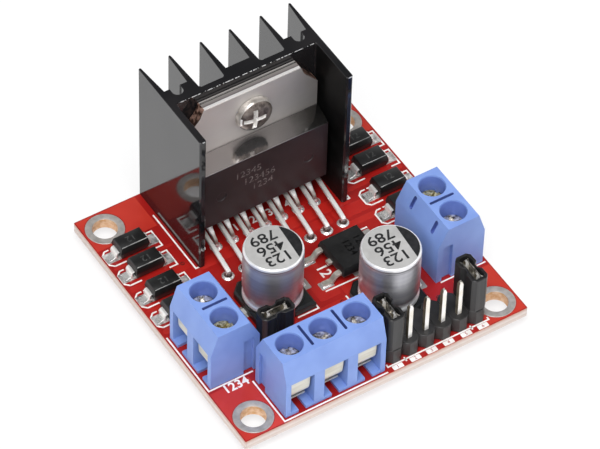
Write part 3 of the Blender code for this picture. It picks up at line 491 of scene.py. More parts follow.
for x0, y0, x1, y1 in copper_lands:
    land = rounded_rectangle(x1 - x0, y1 - y0, min(0.35, (y1 - y0) / 2.2), 4)
    levels = [(0.001, 0), (trace_height * 0.7, 0), (trace_height, 0.03)]
    land_shapes.append((moved(stacked(land, levels), (x0 + x1) / 2, (y0 + y1) / 2), 0))
put_piece("copper_lands", mesh_of(land_shapes), [red_land, copper_under_mask])


# Legend: white ink printed on the mask, as outlines round the parts and a row of label blocks at
# the header, with plain numbers there, by the left terminal, the regulator and the chip's leads.
def ribbon(points, width):
    """A thin strip along a bent line: each point is moved out both ways along its mitre."""
    points = np.asarray(points, float)
    edge = np.diff(points, axis=0)
    edge /= np.linalg.norm(edge, axis=1, keepdims=True)
    side = np.column_stack([-edge[:, 1], edge[:, 0]])
    first = np.vstack([side[:1], side])
    second = np.vstack([side, side[-1:]])
    mitre = (first + second) / (1.0 + np.sum(first * second, axis=1, keepdims=True))
    outline = np.concatenate([points + mitre * width / 2, (points - mitre * width / 2)[::-1]])
    return stacked(outline[::-1], [(trace_height * 0.5, 0), (trace_height + 0.02, 0)])


def digits(text, height, turn, x, y, z, thickness=0.02, bold=0.0, widen=1.0):
    """Plain numbers as a thin solid: the font's outline filled, widened and given a thickness."""
    curve = bpy.data.curves.new("digits", "FONT")
    curve.body = text
    curve.align_x = "CENTER"
    curve.align_y = "CENTER"
    curve.size = height / 0.7
    curve.offset = bold
    curve.resolution_u = 3
    curve.extrude = thickness / 2
    holder = bpy.data.objects.new("digits", curve)
    bpy.context.scene.collection.objects.link(holder)
    seen = holder.evaluated_get(bpy.context.evaluated_depsgraph_get())
    mesh = bpy.data.meshes.new_from_object(seen)
    points = np.empty(3 * len(mesh.vertices), np.float32)
    mesh.vertices.foreach_get("co", points)
    points = points.reshape(-1, 3) * (widen, 1.0, 1.0)
    faces = [list(p.vertices) for p in mesh.polygons]
    bpy.data.objects.remove(holder, do_unlink=True)
    return moved((points, faces), x, y, z, turn)


ink = new_finish("white_ink", (0.86, 0.84, 0.82), 0.5)
tint(ink, 0.7, (0.78, 0.74, 0.71), (0.92, 0.91, 0.9))
grain(ink, 0.2, 0.01)
line_width = 0.22
legend_lines = [
    [(-11.85, 17.3), (-11.85, 6.46), (-10.75, 6.46)], [(11.95, 17.3), (11.95, 6.46), (10.85, 6.46)],
    [(-10.35, 8.3), (-9.75, 8.3)],
    [(-21.2, -1.7), (-21.2, -12.1), (-14.6, -12.1)], [(-15.5, -13.5), (-15.5, -21.25), (0.1, -21.25)],
    [(21.2, -12.1), (14.2, -12.1)], [(0.54, -20.1), (0.54, -20.55), (16.06, -20.55), (16.06, -20.1)],
    [(3.18, -20.9), (3.18, -20.2)], [(13.34, -20.9), (13.34, -20.2)],
    [(-4.9, -7.55), (-1.75, -7.55), (-1.75, -6.9)], [(-10.5, -7.55), (-10.9, -7.1), (-10.9, -6.3)],
    [(2.5, -15.3), (2.5, -14.0)], [(11.2, -15.3), (11.2, -14.0)], [(2.4, -8.8), (2.4, -7.6)],
    [(0.45, -0.5), (2.1, -0.6)], [(0.55, -5.65), (5.9, -5.75)], [(9.7, 1.0), (11.2, 1.0)],
]
cut = 0.55
for y0, y1 in ((12.2, 15.05), (8.35, 11.15), (3.9, 6.7), (0.05, 2.8)):
    for left, right, tail in ((-21.2, -13.5, 1.2), (13.3, 21.1, 1.3)):
        legend_lines.append([(left + cut, y0), (left, y0 + cut), (left, y1 - cut), (left + cut, y1)])
        legend_lines.append([(left + cut, y0), (left + 2.3, y0)])
        legend_lines.append([(right - tail, y0), (right, y0), (right, y1), (right - tail, y1)])
        legend_lines += [[(left + cut, y1), (left + 1.2, y1)], [(left + 1.5, y1), (left + 2.1, y1)]]
legend_shapes = [(ribbon(points, line_width), 0) for points in legend_lines]
label_x = [1.72, 4.40, 6.90, 9.51, 12.22, 14.81]
label_y = -21.08
print_z = trace_height + 0.012
for number, x in enumerate(label_x, 1):
    block = rounded_rectangle(1.55, 0.72, 0.08, 3)
    levels = [(trace_height * 0.5, 0), (trace_height + 0.02, 0)]
    legend_shapes.append((moved(stacked(block, levels), x, label_y), 0))
    legend_shapes.append((digits(str(number), 0.5, 0, x, label_y, trace_height + 0.026), 1))
legend_shapes.append((digits("1234", 1.3, 0.0, -17.7, -13.0, print_z, bold=0.04), 0))
legend_shapes.append((digits("12", 1.5, -90.0, 2.2, -2.5, print_z, bold=0.03), 0))
for number, x in enumerate((-3.64, -0.98, 1.57, 4.36), 1):
    legend_shapes.append((digits(str(number), 1.2, 0.0, x, 9.8, print_z, bold=0.03), 0))
put_piece("white_legend", mesh_of(legend_shapes), [ink, red_mask])


# Pads and vias: tinned lands under the soldered parts, and small plated holes that join the two
# faces of the board.
def turned(profile, around=48):
    """A turned solid: each (radius, height) of the profile swept once round Z."""
    profile = np.asarray(profile, float)
    angle = np.arange(around) * math.tau / around
    points = np.stack([
        profile[:, :1] * np.cos(angle), profile[:, :1] * np.sin(angle),
        np.repeat(profile[:, 1:], around, axis=1)], axis=-1).reshape(-1, 3)
    return points, grid_faces(len(profile), around, True)


def solder_pad(width, depth, radius=0.12):
    """A thin land with round corners, its upper rim sloping in."""
    outline = rounded_rectangle(width, depth, radius, 3)
    return stacked(outline, [(0.001, 0), (0.03, 0), (0.045, 0.05)])


diode_rows = (13.75, 9.85, 5.35, 1.45)
diode_columns = {"left": -17.4, "right": 17.3}
can_places = {"left": (-6.1, -3.15), "right": (6.85, -10.85)}
regulator_x, regulator_y = 6.35, -2.4
regulator_lead_step = 2.28
via_places = [(1.5, -8.2), (3.0, -9.2), (3.9, -8.0), (-3.0, 2.6), (15.2, 0.8), (-14.0, -0.4),
              (12.6, -14.0), (18.2, -13.6), (-12.9, 8.1), (12.9, 10.6)]
pad_shapes = []
for y in diode_rows:
    for x in diode_columns.values():
        pad_shapes += [(moved(solder_pad(2.3, 1.75), x + side * 2.75, y), 2) for side in (-1, 1)]
for x, y in can_places.values():
    pad_shapes += [(moved(solder_pad(3.2, 1.9), x + side * 3.9, y), 0) for side in (-1, 1)]
for side in (-1, 1):
    y = regulator_y + side * regulator_lead_step
    pad_shapes.append((moved(solder_pad(1.9, 1.35), regulator_x - 5.15, y), 0))
pad_shapes.append((moved(solder_pad(6.0, 6.2, 0.15), 8.2, regulator_y), 0))
via_rim = trace_height + 0.012
via = turned([(0.32, 0.001), (0.3, via_rim), (0.17, via_rim), (0.15, -0.25), (0.0, -0.25)], 20)
pad_shapes += [(moved(via, x, y), 1) for x, y in via_places]
via_dark = new_finish("via_barrel", (0.12, 0.012, 0.01), 0.35)
tint(via_dark, 0.3, (0.08, 0.008, 0.006), (0.2, 0.02, 0.014))
pale_tin = new_finish("pale_solder_pad", (0.6, 0.57, 0.55), 0.3, 0.55)
tint(pale_tin, 0.9, (0.2, 0.18, 0.17), (0.88, 0.85, 0.83))
grain(pale_tin, 0.3, 0.02)
put_piece("solder_pads", mesh_of(pad_shapes), [tin, via_dark, pale_tin])


# Heatsink: one aluminium extrusion, black anodised, its sawn ends the same. A plate with tapering
# fins behind, walls that run forward round the chip, a boss and two slotted blocks for its pins.
anodised = new_finish("black_anodised", (0.012, 0.012, 0.013), 0.08)
anodised.node_tree.nodes["Principled BSDF"].inputs["IOR"].default_value = 1.55
tint(anodised, 6.0, (0.009, 0.009, 0.010), (0.016, 0.015, 0.016))
polish(anodised, 5.0, 0.05, 0.12, (1.0, 1.0, 0.2))
# Bright flecks on black, along the plate's front top edge and on the walls' front top corners: painted
# highlight, standing also for bare aluminium at the saw's burr.
burr_and_highlight = new_finish("burr_and_highlight", (0.5, 0.5, 0.5), 0.35, 0.6)
burr_highlight_ramp = tint(burr_and_highlight, 0.32, (0.01, 0.01, 0.01), (0.95, 0.95, 0.95), 2.0)
burr_highlight_ramp.color_ramp.elements[0].position = 0.47
burr_highlight_ramp.color_ramp.elements[1].position = 0.53
# Painted shade: a darker black with weak reflections, for the inner faces of the side walls in front of
# the plate.
shaded_black = new_finish("shaded_black", (0.006, 0.006, 0.006), 0.35)
shaded_black.node_tree.nodes["Principled BSDF"].inputs["IOR"].default_value = 1.2
tint(shaded_black, 3.0, (0.004, 0.004, 0.004), (0.009, 0.009, 0.009))

sink_middle = 0.05
sink_face = 11.5
sink_wall = 0.95
fin_tip = 0.35
plate_front = 13.7
plate_back = 14.7
fin_back = 21.5
sink_front = 6.2
boss_back = 15.9
block_back = 16.4
sink_top = 24.05
inner_fin = 2.2
outer_fin = 6.9
pin_x = 9.15
pin_y = 15.7


def rectangle(width, depth):
    """Outline of a rectangle about the origin with sharp corners."""
    return np.array([(width, depth), (-width, depth), (-width, -depth), (width, -depth)]) / 2


def box(x0, y0, z0, x1, y1, z1, edge=0.0):
    """A block between two corners, its upper and lower rims cut back by edge."""
    outline = rectangle(x1 - x0, y1 - y0)
    levels = [(z0, edge), (z0 + edge, 0), (z1 - edge, 0), (z1, edge)] if edge else [(z0, 0), (z1, 0)]
    return moved(stacked(outline, levels), (x0 + x1) / 2, (y0 + y1) / 2)


def fin_outline(x):
    """One fin from foot to foot, its sides straight and its tip rounded."""
    root, tip = sink_wall / 2, fin_tip / 2
    return np.array([
        (x - root - 0.25, plate_back), (x - root, plate_back + 0.25), (x - tip, fin_back - 0.12),
        (x - tip * 0.4, fin_back), (x + tip * 0.4, fin_back), (x + tip, fin_back - 0.12),
        (x + root, plate_back + 0.25), (x + root + 0.25, plate_back)])


sweep = np.linspace(math.pi, math.tau, 15)
pin_slot = np.column_stack([pin_x + 0.75 * np.cos(sweep), pin_y + 0.75 * np.sin(sweep)])
half_sink = np.concatenate([
    [(inner_fin - 0.42, boss_back)], fin_outline(inner_fin)[2:], fin_outline(outer_fin)[:6],
    [(7.31, block_back), (8.4, block_back)], pin_slot, [(9.9, block_back), (10.7, block_back)],
    [(sink_face - fin_tip, fin_back - 0.1), (sink_face - 0.25, fin_back)],
    [(sink_face - 0.1, fin_back), (sink_face, fin_back - 0.1)],
    [(sink_face, sink_front + 0.2), (sink_face - 0.2, sink_front)],
    [(sink_face - sink_wall + 0.2, sink_front)],
    [(sink_face - sink_wall, sink_front + 0.2), (sink_face - sink_wall, plate_front - 0.15)],
    [(sink_face - sink_wall - 0.15, plate_front)]])
sink_outline = np.concatenate([half_sink, (half_sink * (-1, 1))[::-1]]) + (sink_middle, 0)
sink_levels = [(0.05, 0.06), (0.1, 0.0), (sink_top - 0.04, 0.0), (sink_top, 0.04)]
sink_shapes = [(stacked(sink_outline[::-1], sink_levels), 0)]
# Thin strips carrying the painted highlight along the plate's front top edge and on the front top
# corners of both walls.
sink_shapes.append((box(-10.45, 13.66, sink_top - 0.06, 10.55, 13.75, sink_top), 1))
for x in (sink_middle - 11.02, sink_middle + 11.02):
    sink_shapes.append((box(x - 0.28, 6.18, sink_top - 0.1, x + 0.28, 6.3, sink_top), 1))
sink_mesh = mesh_of(sink_shapes)
# The inner faces of the side walls in front of the plate take the painted shade.
for face in sink_mesh.polygons:
    inside_wall = 10.4 < abs(face.center.x * 1000 - sink_middle) < 10.7 and abs(face.normal.x) > 0.9
    if inside_wall and face.center.y * 1000 < plate_back:
        face.material_index = 2
put_piece("heatsink_extrusion", sink_mesh, [anodised, burr_and_highlight, shaded_black],
          ["heatsink"], sharp=28)

# Heatsink pins: tinned steel pins pushed into the slots of its two blocks, and soldered under the
# board.
tail_end = -3.09
solder = new_finish("bright_solder", (0.88, 0.87, 0.85), 0.26, 0.75)
polish(solder, 0.9, 0.22, 0.32)
grain(solder, 0.45, 0.008)


def solder_dome(radius, rise, wire=0.35, under=True):
    """Solder round a tail: a profile that hugs the tail and flattens out on the land."""
    t = np.linspace(0.0, 1.0, 7)
    r = wire + (radius - wire) * t ** 1.8
    z = rise * (1.0 - t) ** 1.3
    r, z = np.concatenate([[0.0], r, [radius]]), np.concatenate([[rise], z, [-0.01]])
    profile = np.column_stack([r, z])
    if under:
        profile = profile * (1, -1) + (0, -board_thick)
    return turned(profile, 24)


for side, name in ((-1, "left"), (1, "right")):
    x = sink_middle + side * pin_x
    rod = turned([(0, 9.0), (0.45, 9.0), (0.65, 8.8), (0.65, -2.9), (0.5, tail_end), (0, tail_end)], 32)
    shapes = [(moved(rod, x, pin_y), 0), (moved(solder_dome(1.4, 0.95, 0.65), x, pin_y), 1)]
    put_piece("heatsink_pin_%s_rod" % name, mesh_of(shapes), [tin, solder],
              ["heatsink_pin_" + name])


# Driver chip tab: a stamped copper plate, nickel plated, with slanted upper corners whose shear
# marks show the copper. The screw clamps it to the heatsink.
nickel = new_finish("satin_nickel", (0.58, 0.55, 0.52), 0.45, 0.6)
# The plate's colour darkens towards +X: painted shade across its face.
layers(nickel, "X", -10.0, 10.0, [
    (0.0, (0.66, 0.6, 0.57)), (0.45, (0.62, 0.585, 0.555)), (1.0, (0.36, 0.34, 0.325))], 0.25, 4.0)
polish(nickel, 4.0, 0.38, 0.52)
grain(nickel, 0.3, 0.006, (0.08, 1.0, 1.0))
bare_copper = new_finish("bare_copper", (0.3, 0.16, 0.12), 0.42, 0.6)
copper_ramp = tint(bare_copper, 0.6, (0.06, 0.03, 0.022), (0.6, 0.36, 0.28))
copper_ramp.color_ramp.elements[0].position = 0.45
# The tab's top edge is coloured in bands across its thickness: a painted highlight along the front edge,
# a dark line behind it, and painted shade over the groove near the back.
tab_top_light_and_shade = new_finish("tab_top_light_and_shade", (0.5, 0.47, 0.44), 0.42, 0.5)
layers(tab_top_light_and_shade, "Y", 12.05, 13.65, [
    (0.0, (0.93, 0.91, 0.89)), (0.26, (0.9, 0.88, 0.86)), (0.33, (0.12, 0.1, 0.1)),
    (0.42, (0.3, 0.27, 0.26)), (0.66, (0.36, 0.33, 0.31)), (0.72, (0.04, 0.04, 0.04)),
    (0.8, (0.04, 0.04, 0.04)),
    (0.86, (0.5, 0.47, 0.45)), (1.0, (0.6, 0.57, 0.55))], 0.05, 0.6)
screw_height = 18.4
tab_half = [(10, 4.1), (10, 18.7), (7.95, 21.05), (7.85, 21.2), (7.35, 22.5), (7.25, 22.6)]
tab_outline = np.array(tab_half + [(-x, z) for x, z in tab_half[::-1]])
tab_levels = [(-13.65, 0.05), (-13.58, 0), (-12.12, 0), (-12.05, 0.06)]
tab_block = moved(stacked(tab_outline, tab_levels), lay="Y")
tab_cut = [box(-7.0, 13.2, 22.5, 7.0, 13.33, 23.5)]
tab_cut.append(moved(stacked(disc(1.7, 40), [(-15, 0), (-11, 0)]), 0, 0, screw_height, lay="Y"))
tab_mesh = carved(tab_block, tab_cut)
# The top faces take the painted highlight and shade.
for face in tab_mesh.polygons:
    height = face.center.z * 1000 - board_top
    slanted = abs(face.normal.y) < 0.6 and abs(face.center.x) * 1000 > 7.2
    on_top = face.normal.z > 0.9 and height > 22.4
    face.material_index = 2 if on_top else 1 if slanted and height > 18.8 else 0
put_piece("driver_ic_tab_plate", tab_mesh, [nickel, bare_copper, tab_top_light_and_shade],
          ["driver_ic_tab"], sharp=30)


# Driver chip body: black epoxy moulded against the tab, its front face drawn in, with two round
# ejector marks, a polished ledge on top whose light grey is a painted reflection of the tab, darker
# towards +X, and fifteen leads bent to two rows through the board.
def swept(path, section, side=(1.0, 0.0, 0.0), scale=None):
    """A bar along a path: the section stands square to it, with its first axis along side."""
    path = np.asarray(path, float)
    section = np.asarray(section, float)
    ahead = np.gradient(path, axis=0)
    ahead /= np.linalg.norm(ahead, axis=1, keepdims=True)
    side = np.broadcast_to(np.asarray(side, float), path.shape)
    rise = np.cross(side, ahead)
    rise /= np.linalg.norm(rise, axis=1, keepdims=True)
    size = np.ones((len(path), 2)) if scale is None else np.asarray(scale, float)
    points = path[:, None] + section[None, :, :1] * size[:, None, :1] * side[:, None] \
        + section[None, :, 1:] * size[:, None, 1:] * rise[:, None]
    count = len(section)
    faces = grid_faces(len(path), count, True)
    faces.append(list(range(count)))
    faces.append([(len(path) - 1) * count + k for k in range(count)][::-1])
    return points.reshape(-1, 3), faces


def smooth_path(points, steps):
    """A Catmull-Rom curve through points: each span blends the tangents at its two ends."""
    p = np.asarray(points, float)
    p = np.vstack([2 * p[0] - p[1], p, 2 * p[-1] - p[-2]])
    t = np.linspace(0, 1, steps, endpoint=False)[:, None]
    spans = []
    for a, b, c, d in zip(p, p[1:], p[2:], p[3:]):
        spans.append(0.5 * (2 * b + (c - a) * t + (2 * a - 5 * b + 4 * c - d) * t ** 2
                            + (3 * b - a - 3 * c + d) * t ** 3))
    return np.vstack(spans + [p[-2][None]])


epoxy = new_finish("dark_epoxy", (0.02, 0.014, 0.015), 0.42)
tint(epoxy, 4.0, (0.016, 0.011, 0.012), (0.026, 0.019, 0.02), 4.0)
grain(epoxy, 0.18, 0.012)
# Painted reflection: the black epoxy ledge is given a metal's grey, fading darker towards +X.
ledge_reflection = new_finish("painted_ledge_reflection", (0.62, 0.6, 0.58), 0.1, 0.93)
layers(ledge_reflection, "X", -10.0, 10.0, [
    (0.0, (0.4, 0.375, 0.37)), (0.55, (0.37, 0.35, 0.345)), (0.74, (0.31, 0.295, 0.29)),
    (0.9, (0.1, 0.095, 0.09)), (1.0, (0.065, 0.062, 0.06))], 0.12, 2.0)
# Near-black for the dark joints between body and tab, and used as painted shade under the heatsink
# screw's head and behind the terminal clamp leaves.
seam_and_shade_dark = new_finish("seam_and_painted_shade", (0.012, 0.011, 0.011), 0.5)
tint(seam_and_shade_dark, 0.6, (0.008, 0.008, 0.008), (0.03, 0.027, 0.026))
etched = new_finish("etched_numbers", (0.15, 0.13, 0.12), 0.5)
tint(etched, 0.35, (0.05, 0.042, 0.04), (0.24, 0.21, 0.2))
# Painted shade: the back leads are darker low down, under the body, and bright above.
back_lead_tin_shaded = new_finish("back_lead_tin_shaded", (0.9, 0.89, 0.87), 0.36, 0.5)
layers(back_lead_tin_shaded, "Z", board_top, board_top + 4.0, [
    (0.0, (0.5, 0.46, 0.42)), (0.3, (0.28, 0.24, 0.21)), (0.42, (0.4, 0.36, 0.33)),
    (0.5, (0.93, 0.92, 0.9)), (1.0, (0.95, 0.94, 0.92))], 0.1, 0.8)
# Painted shade: the front leads darken towards the body, where it hangs over them.
front_lead_tin_shaded = new_finish("front_lead_tin_shaded", (0.9, 0.89, 0.87), 0.36, 0.5)
layers(front_lead_tin_shaded, "Y", 3.0, 10.0, [
    (0.0, (0.95, 0.94, 0.92)), (0.35, (0.86, 0.84, 0.81)), (0.7, (0.55, 0.53, 0.5)),
    (1.0, (0.35, 0.33, 0.32))], 0.3, 1.6)
flux = new_finish("flux_ring", (0.05, 0.035, 0.03), 0.3)
tint(flux, 0.3, (0.02, 0.014, 0.012), (0.11, 0.08, 0.07))


def chip_section(half_width, bottom, top):
    """Outline of the chip's body seen from the front, as four corners."""
    return np.array([(half_width, top), (-half_width, top), (-half_width, bottom), (half_width, bottom)])


chip_front = -8.65
chip_sections = [(chip_section(10.0, 3.7, 14.4), -12.0), (chip_section(10.0, 3.7, 14.4), -11.6),
                 (chip_section(9.62, 3.98, 14.12), -8.7), (chip_section(9.56, 4.03, 14.08), chip_front)]
chip_block = moved(lofted(chip_sections), lay="Y")
chip_cuts = []
for x in (-6.65, 6.65):
    chip_cuts.append(moved(stacked(disc(0.75, 32), [(-8.75, 0), (-8.0, 0)]), x, 0, 8.9, lay="Y"))
chip_mesh = carved(chip_block, chip_cuts)
# Upward faces high on the body take the painted reflection.
for face in chip_mesh.polygons:
    face.material_index = 1 if face.normal.z > 0.55 and face.center.z * 1000 - board_top > 11 else 0
put_piece("driver_ic_moulding", chip_mesh, [epoxy, ledge_reflection], ["driver_ic_body"],
          edge=0.06, sharp=30)
seams = [(box(-9.9, 11.72, 14.3, -8.5, 12.04, 14.43), 0), (box(8.0, 11.9, 14.3, 9.9, 12.04, 14.42), 0)]
put_piece("driver_ic_seams", mesh_of(seams), [seam_and_shade_dark])
lead_section = rounded_rectangle(0.62, 0.48, 0.1, 2)
lead_pitch = 2.54
front_row = 3.24
back_row = 8.32
lead_shapes = []
for k in range(8):
    x = (k - 3.5) * lead_pitch
    path = [(x, 10.5, 4.3), (x, 10.5, 3.45), (x, 10.1, 2.8), (x, 3.75, 1.15), (x, 3.3, 0.7),
            (x, front_row, -0.2), (x, front_row, tail_end)]
    lead_shapes.append((swept(smooth_path(path, 5), lead_section), 2))
    lead_shapes.append((moved(solder_dome(0.85, 0.55, 0.36, False), x, front_row), 1))
    ring = turned([(0.3, 0.64), (0.4, 0.46), (0.54, 0.225), (0.54, 0.17)], 24)
    lead_shapes.append((moved(ring, x, front_row), 3))
    lead_shapes.append((moved(solder_dome(0.95, 0.9), x, front_row), 1))
for k in range(7):
    x = (k - 3) * lead_pitch
    path = [(x, 11.2, 4.3), (x, 11.2, 3.3), (x, 10.6, 2.5), (x, 8.7, 1.3), (x, 8.36, 0.8),
            (x, back_row, -0.2), (x, back_row, tail_end)]
    path = smooth_path(path, 5)
    width = np.interp(path[:, 2], [0.8, 1.5, 2.3, 3.0, 4.3], [0.85, 0.9, 1.5, 1.5, 1.2])
    scale = np.column_stack([width, np.ones(len(path))])
    lead_shapes.append((swept(path, lead_section, scale=scale), 0))
    lead_shapes.append((moved(solder_dome(0.85, 0.6, 0.36, False), x, back_row), 1))
    lead_shapes.append((moved(solder_dome(0.95, 0.9), x, back_row), 1))
put_piece("driver_ic_leads", mesh_of(lead_shapes), [back_lead_tin_shaded, solder, front_lead_tin_shaded, flux])
etched_shapes = []
for text, x, z in (("12345", -2.6, 11.4), ("123456", -0.9, 9.7), ("1234", -0.4, 8.1)):
    etched_shapes.append((moved(digits(text, 1.15, 0.0, x, z, chip_front - 0.005), lay="Y"), 0))
put_piece("driver_ic_numbers", mesh_of(etched_shapes), [etched])

# Heatsink screw: a plated pan head with a cross recess, its shaft through the tab and the plate and
# its end standing out of the boss behind. Painted highlight in the recess and on the head's rim,
# painted shade on its downward faces.
screw_steel = new_finish("plated_screw", (0.15, 0.12, 0.105), 0.4, 0.6)
tint(screw_steel, 0.7, (0.07, 0.054, 0.047), (0.24, 0.2, 0.175))
screw_rim_highlight = new_finish("screw_rim_highlight", (0.5, 0.46, 0.42), 0.35, 0.6)
tint(screw_rim_highlight, 0.9, (0.32, 0.29, 0.26), (0.66, 0.62, 0.58))
recess_highlight = new_finish("screw_recess_highlight", (0.95, 0.93, 0.9), 0.4, 0.3)
tint(recess_highlight, 0.5, (0.86, 0.84, 0.81), (0.97, 0.95, 0.93))
cross_shift = -0.45
dome = np.linspace(0, 1, 9) * math.pi / 2
head_profile = np.column_stack([2.6 * np.sin(dome) ** 0.8, 1.5 * np.cos(dome) ** 0.55])
shaft_profile = [(2.6, 0.0), (1.45, 0.0), (1.45, -4.7), (1.1, -4.9), (0, -4.9)]
screw_head = turned(np.vstack([head_profile, shaft_profile]))
screw_head = moved(screw_head, 0, 12.0, screw_height, lay="Y")
arms = []
for turn in (0, 90):
    arm = stacked(rectangle(3.4, 0.8), [(0.4, 0.2), (2.5, -0.05)])
    arms.append(moved(moved(arm, turn=turn - 3), cross_shift, 12.0, screw_height, lay="Y"))
screw_mesh = carved(screw_head, arms)
# Recess faces take the painted highlight, the outer rim a lighter painted highlight, and downward faces
# the painted shade.
for face in screw_mesh.polygons:
    centre = face.center * 1000
    height = centre.z - board_top - screw_height
    in_cross = math.hypot(centre.x - cross_shift, height) < 1.9 and centre.y < 12.0
    recessed = in_cross and (centre.y > 10.9 or abs(face.normal.y) < 0.5)
    outside = 3 if math.hypot(centre.x, height) > 2.35 else 0
    face.material_index = 1 if recessed else 2 if face.normal.z < -0.35 else outside
put_piece("heatsink_screw_head", screw_mesh, [screw_steel, recess_highlight, seam_and_shade_dark, screw_rim_highlight],
          ["heatsink_screw"], sharp=40)


# Capacitors: a drawn aluminium can crimped over its rubber at the foot, standing on a moulded
# base with two metal feet. The top has a black polarity segment and three lines of numbers.
can_metal = new_finish("drawn_aluminium", (0.62, 0.62, 0.66), 0.36, 0.85)
tint(can_metal, 2.2, (0.56, 0.56, 0.61), (0.68, 0.68, 0.71), 3.0, (0.2, 0.2, 3.0))
polish(can_metal, 3.0, 0.3, 0.42, (0.15, 0.15, 4.0))
grain(can_metal, 0.6, 0.004, (0.04, 0.04, 5.0))
# Painted highlight: the can's rounded shoulder and its curled foot are coloured near-white.
can_rim_highlight = new_finish("can_shoulder", (0.93, 0.93, 0.95), 0.3, 0.5)
tint(can_rim_highlight, 0.8, (0.86, 0.86, 0.88), (0.97, 0.97, 0.98))
can_face = new_finish("can_top", (0.56, 0.555, 0.545), 0.5, 0.4)
tint(can_face, 1.4, (0.52, 0.515, 0.505), (0.6, 0.595, 0.585))
grain(can_face, 0.15, 0.006)
can_ink = new_finish("can_ink", (0.013, 0.013, 0.014), 0.38)
tint(can_ink, 0.6, (0.009, 0.009, 0.010), (0.022, 0.022, 0.024))
base_plastic = new_finish("base_plastic", (0.008, 0.009, 0.009), 0.4)
tint(base_plastic, 1.5, (0.006, 0.007, 0.007), (0.013, 0.015, 0.014))
grain(base_plastic, 0.15, 0.01)
lead_tin = new_finish("lead_tin", (0.9, 0.89, 0.87), 0.36, 0.5)
tint(lead_tin, 2.2, (0.82, 0.8, 0.77), (0.95, 0.94, 0.92), 1.0)
can_wall = [(4.0, 9.72), (4.0, 9.44), (3.975, 9.4), (4.0, 9.36), (4.0, 9.14), (3.98, 9.1), (4.0, 9.06),
            (4.0, 3.4), (3.95, 3.0), (3.82, 2.6), (3.74, 2.35)]
can_curl = [(3.74, 2.35), (3.78, 2.15), (3.92, 1.98), (4.0, 1.82), (4.0, 1.45), (3.9, 1.31), (3.8, 1.31)]
can_shoulder = [(3.72, 10.17), (3.8, 10.16), (3.9, 10.08), (3.97, 9.93), (4.0, 9.72)]
for name, (x, y) in can_places.items():
    shapes = [(turned(can_wall, 96), 0), (turned(can_curl, 96), 3), (turned(can_shoulder, 96), 3)]
    shapes += [(turned([(0, 10.17), (3.72, 10.17)], 96), 1), (turned([(3.8, 1.31), (0, 1.31)], 96), 0)]
    angle = np.linspace(-0.92, 0.92, 24) - 0.077
    segment = np.column_stack([3.7 * np.cos(angle), 3.7 * np.sin(angle)])
    shapes.append((stacked(segment, [(10.15, 0), (10.19, 0)]), 2))
    for line_number, text in enumerate(("123", "456", "789")):
        text_y = -1.8 + 1.95 * line_number
        shapes.append((digits(text, 1.6, 178.0, -0.35, text_y, 10.178, 0.02, 0.03, 1.12), 2))
    shapes = [(moved(shape, x, y), finish) for shape, finish in shapes]
    put_piece("capacitor_%s_shell" % name, mesh_of(shapes), [can_metal, can_face, can_ink, can_rim_highlight],
              ["capacitor_%s_can" % name], sharp=32)
    half, cut = 4.15, 2.85
    outline = [(-cut, -half), (half, -half), (half, half), (-cut, half), (-half, cut), (-half, -cut)]
    foot = box(-4.95, -0.45, 0.05, 4.95, 0.45, 0.35, 0.04)
    base = stacked(outline, [(0.05, 0.05), (0.12, 0), (0.95, 0), (1.25, 0.28)])
    rim = turned([(4.12, 1.0), (4.12, 1.5), (3.86, 1.62), (3.8, 1.2)], 64)
    pieces = [(moved(base, x, y), 0), (moved(foot, x, y), 1), (moved(rim, x, y), 0)]
    put_piece("capacitor_%s_foot" % name, mesh_of(pieces), [base_plastic, lead_tin],
              ["capacitor_%s_base" % name], edge=0.06)


# Regulator: black epoxy on a tinned tab that lies flat on the board, with two long leads soldered
# to it and the stub of a third that is cut short.
chip_black = new_finish("chip_black", (0.008, 0.008, 0.008), 0.38)
tint(chip_black, 2.0, (0.006, 0.006, 0.006), (0.014, 0.014, 0.014), 4.0)
grain(chip_black, 0.14, 0.014)
body_outline = rectangle(6.1, 6.3)
body_levels = [(0.6, 0.3), (1.0, 0.02), (1.15, 0.0), (1.3, 0.02), (2.15, 0.24), (2.25, 0.34)]
faint_mark = new_finish("faint_mark", (0.06, 0.062, 0.062), 0.5)
tint(faint_mark, 0.5, (0.025, 0.026, 0.026), (0.07, 0.072, 0.07))
regulator_shapes = [(moved(stacked(body_outline, body_levels), regulator_x, regulator_y), 0)]
for x in (7.9, 6.2):
    regulator_shapes.append((digits("1234", 1.0, -90.0, x, regulator_y, 2.247, 0.006), 1))
put_piece("regulator_moulding", mesh_of(regulator_shapes), [chip_black, faint_mark],
          ["regulator_body"])
dull_tin = new_finish("dull_tin", (0.62, 0.59, 0.52), 0.36, 0.6)
tint(dull_tin, 0.9, (0.48, 0.45, 0.39), (0.74, 0.71, 0.64))
regulator_leads = []
flat_lead = rounded_rectangle(0.8, 0.5, 0.08, 2)
for k in (-1, 0, 1):
    reach = [(-2.3, 0, 1.15), (-3.6, 0, 1.15)]
    if k:
        reach += [(-4.3, 0, 0.35), (-4.75, 0, 0.3), (-5.65, 0, 0.3)]
        reach = smooth_path(reach, 5)
    lead = swept(reach, flat_lead, side=(0.0, 1.0, 0.0))
    y = regulator_y + k * regulator_lead_step
    regulator_leads.append((moved(lead, regulator_x, y), 0))
    if k:
        fillet = stacked(rounded_rectangle(1.7, 1.25, 0.3, 5), [(0.04, 0), (0.16, 0.08), (0.3, 0.28)])
        regulator_leads.append((moved(fillet, 1.25, y), 1))
put_piece("regulator_leads", mesh_of(regulator_leads), [dull_tin, solder])
tab_flat = np.array([(-1.2, -2.6), (3.25, -2.6), (4.05, -1.8), (4.05, 1.8), (3.25, 2.6), (-1.2, 2.6)])
tab_levels = [(0.05, 0.03), (0.1, 0), (0.5, 0), (0.55, 0.04)]
regulator_tab = moved(stacked(tab_flat, tab_levels), regulator_x, regulator_y)
put_piece("regulator_tab_plate", mesh_of([(regulator_tab, 0)]), [tin], ["regulator_tab"])
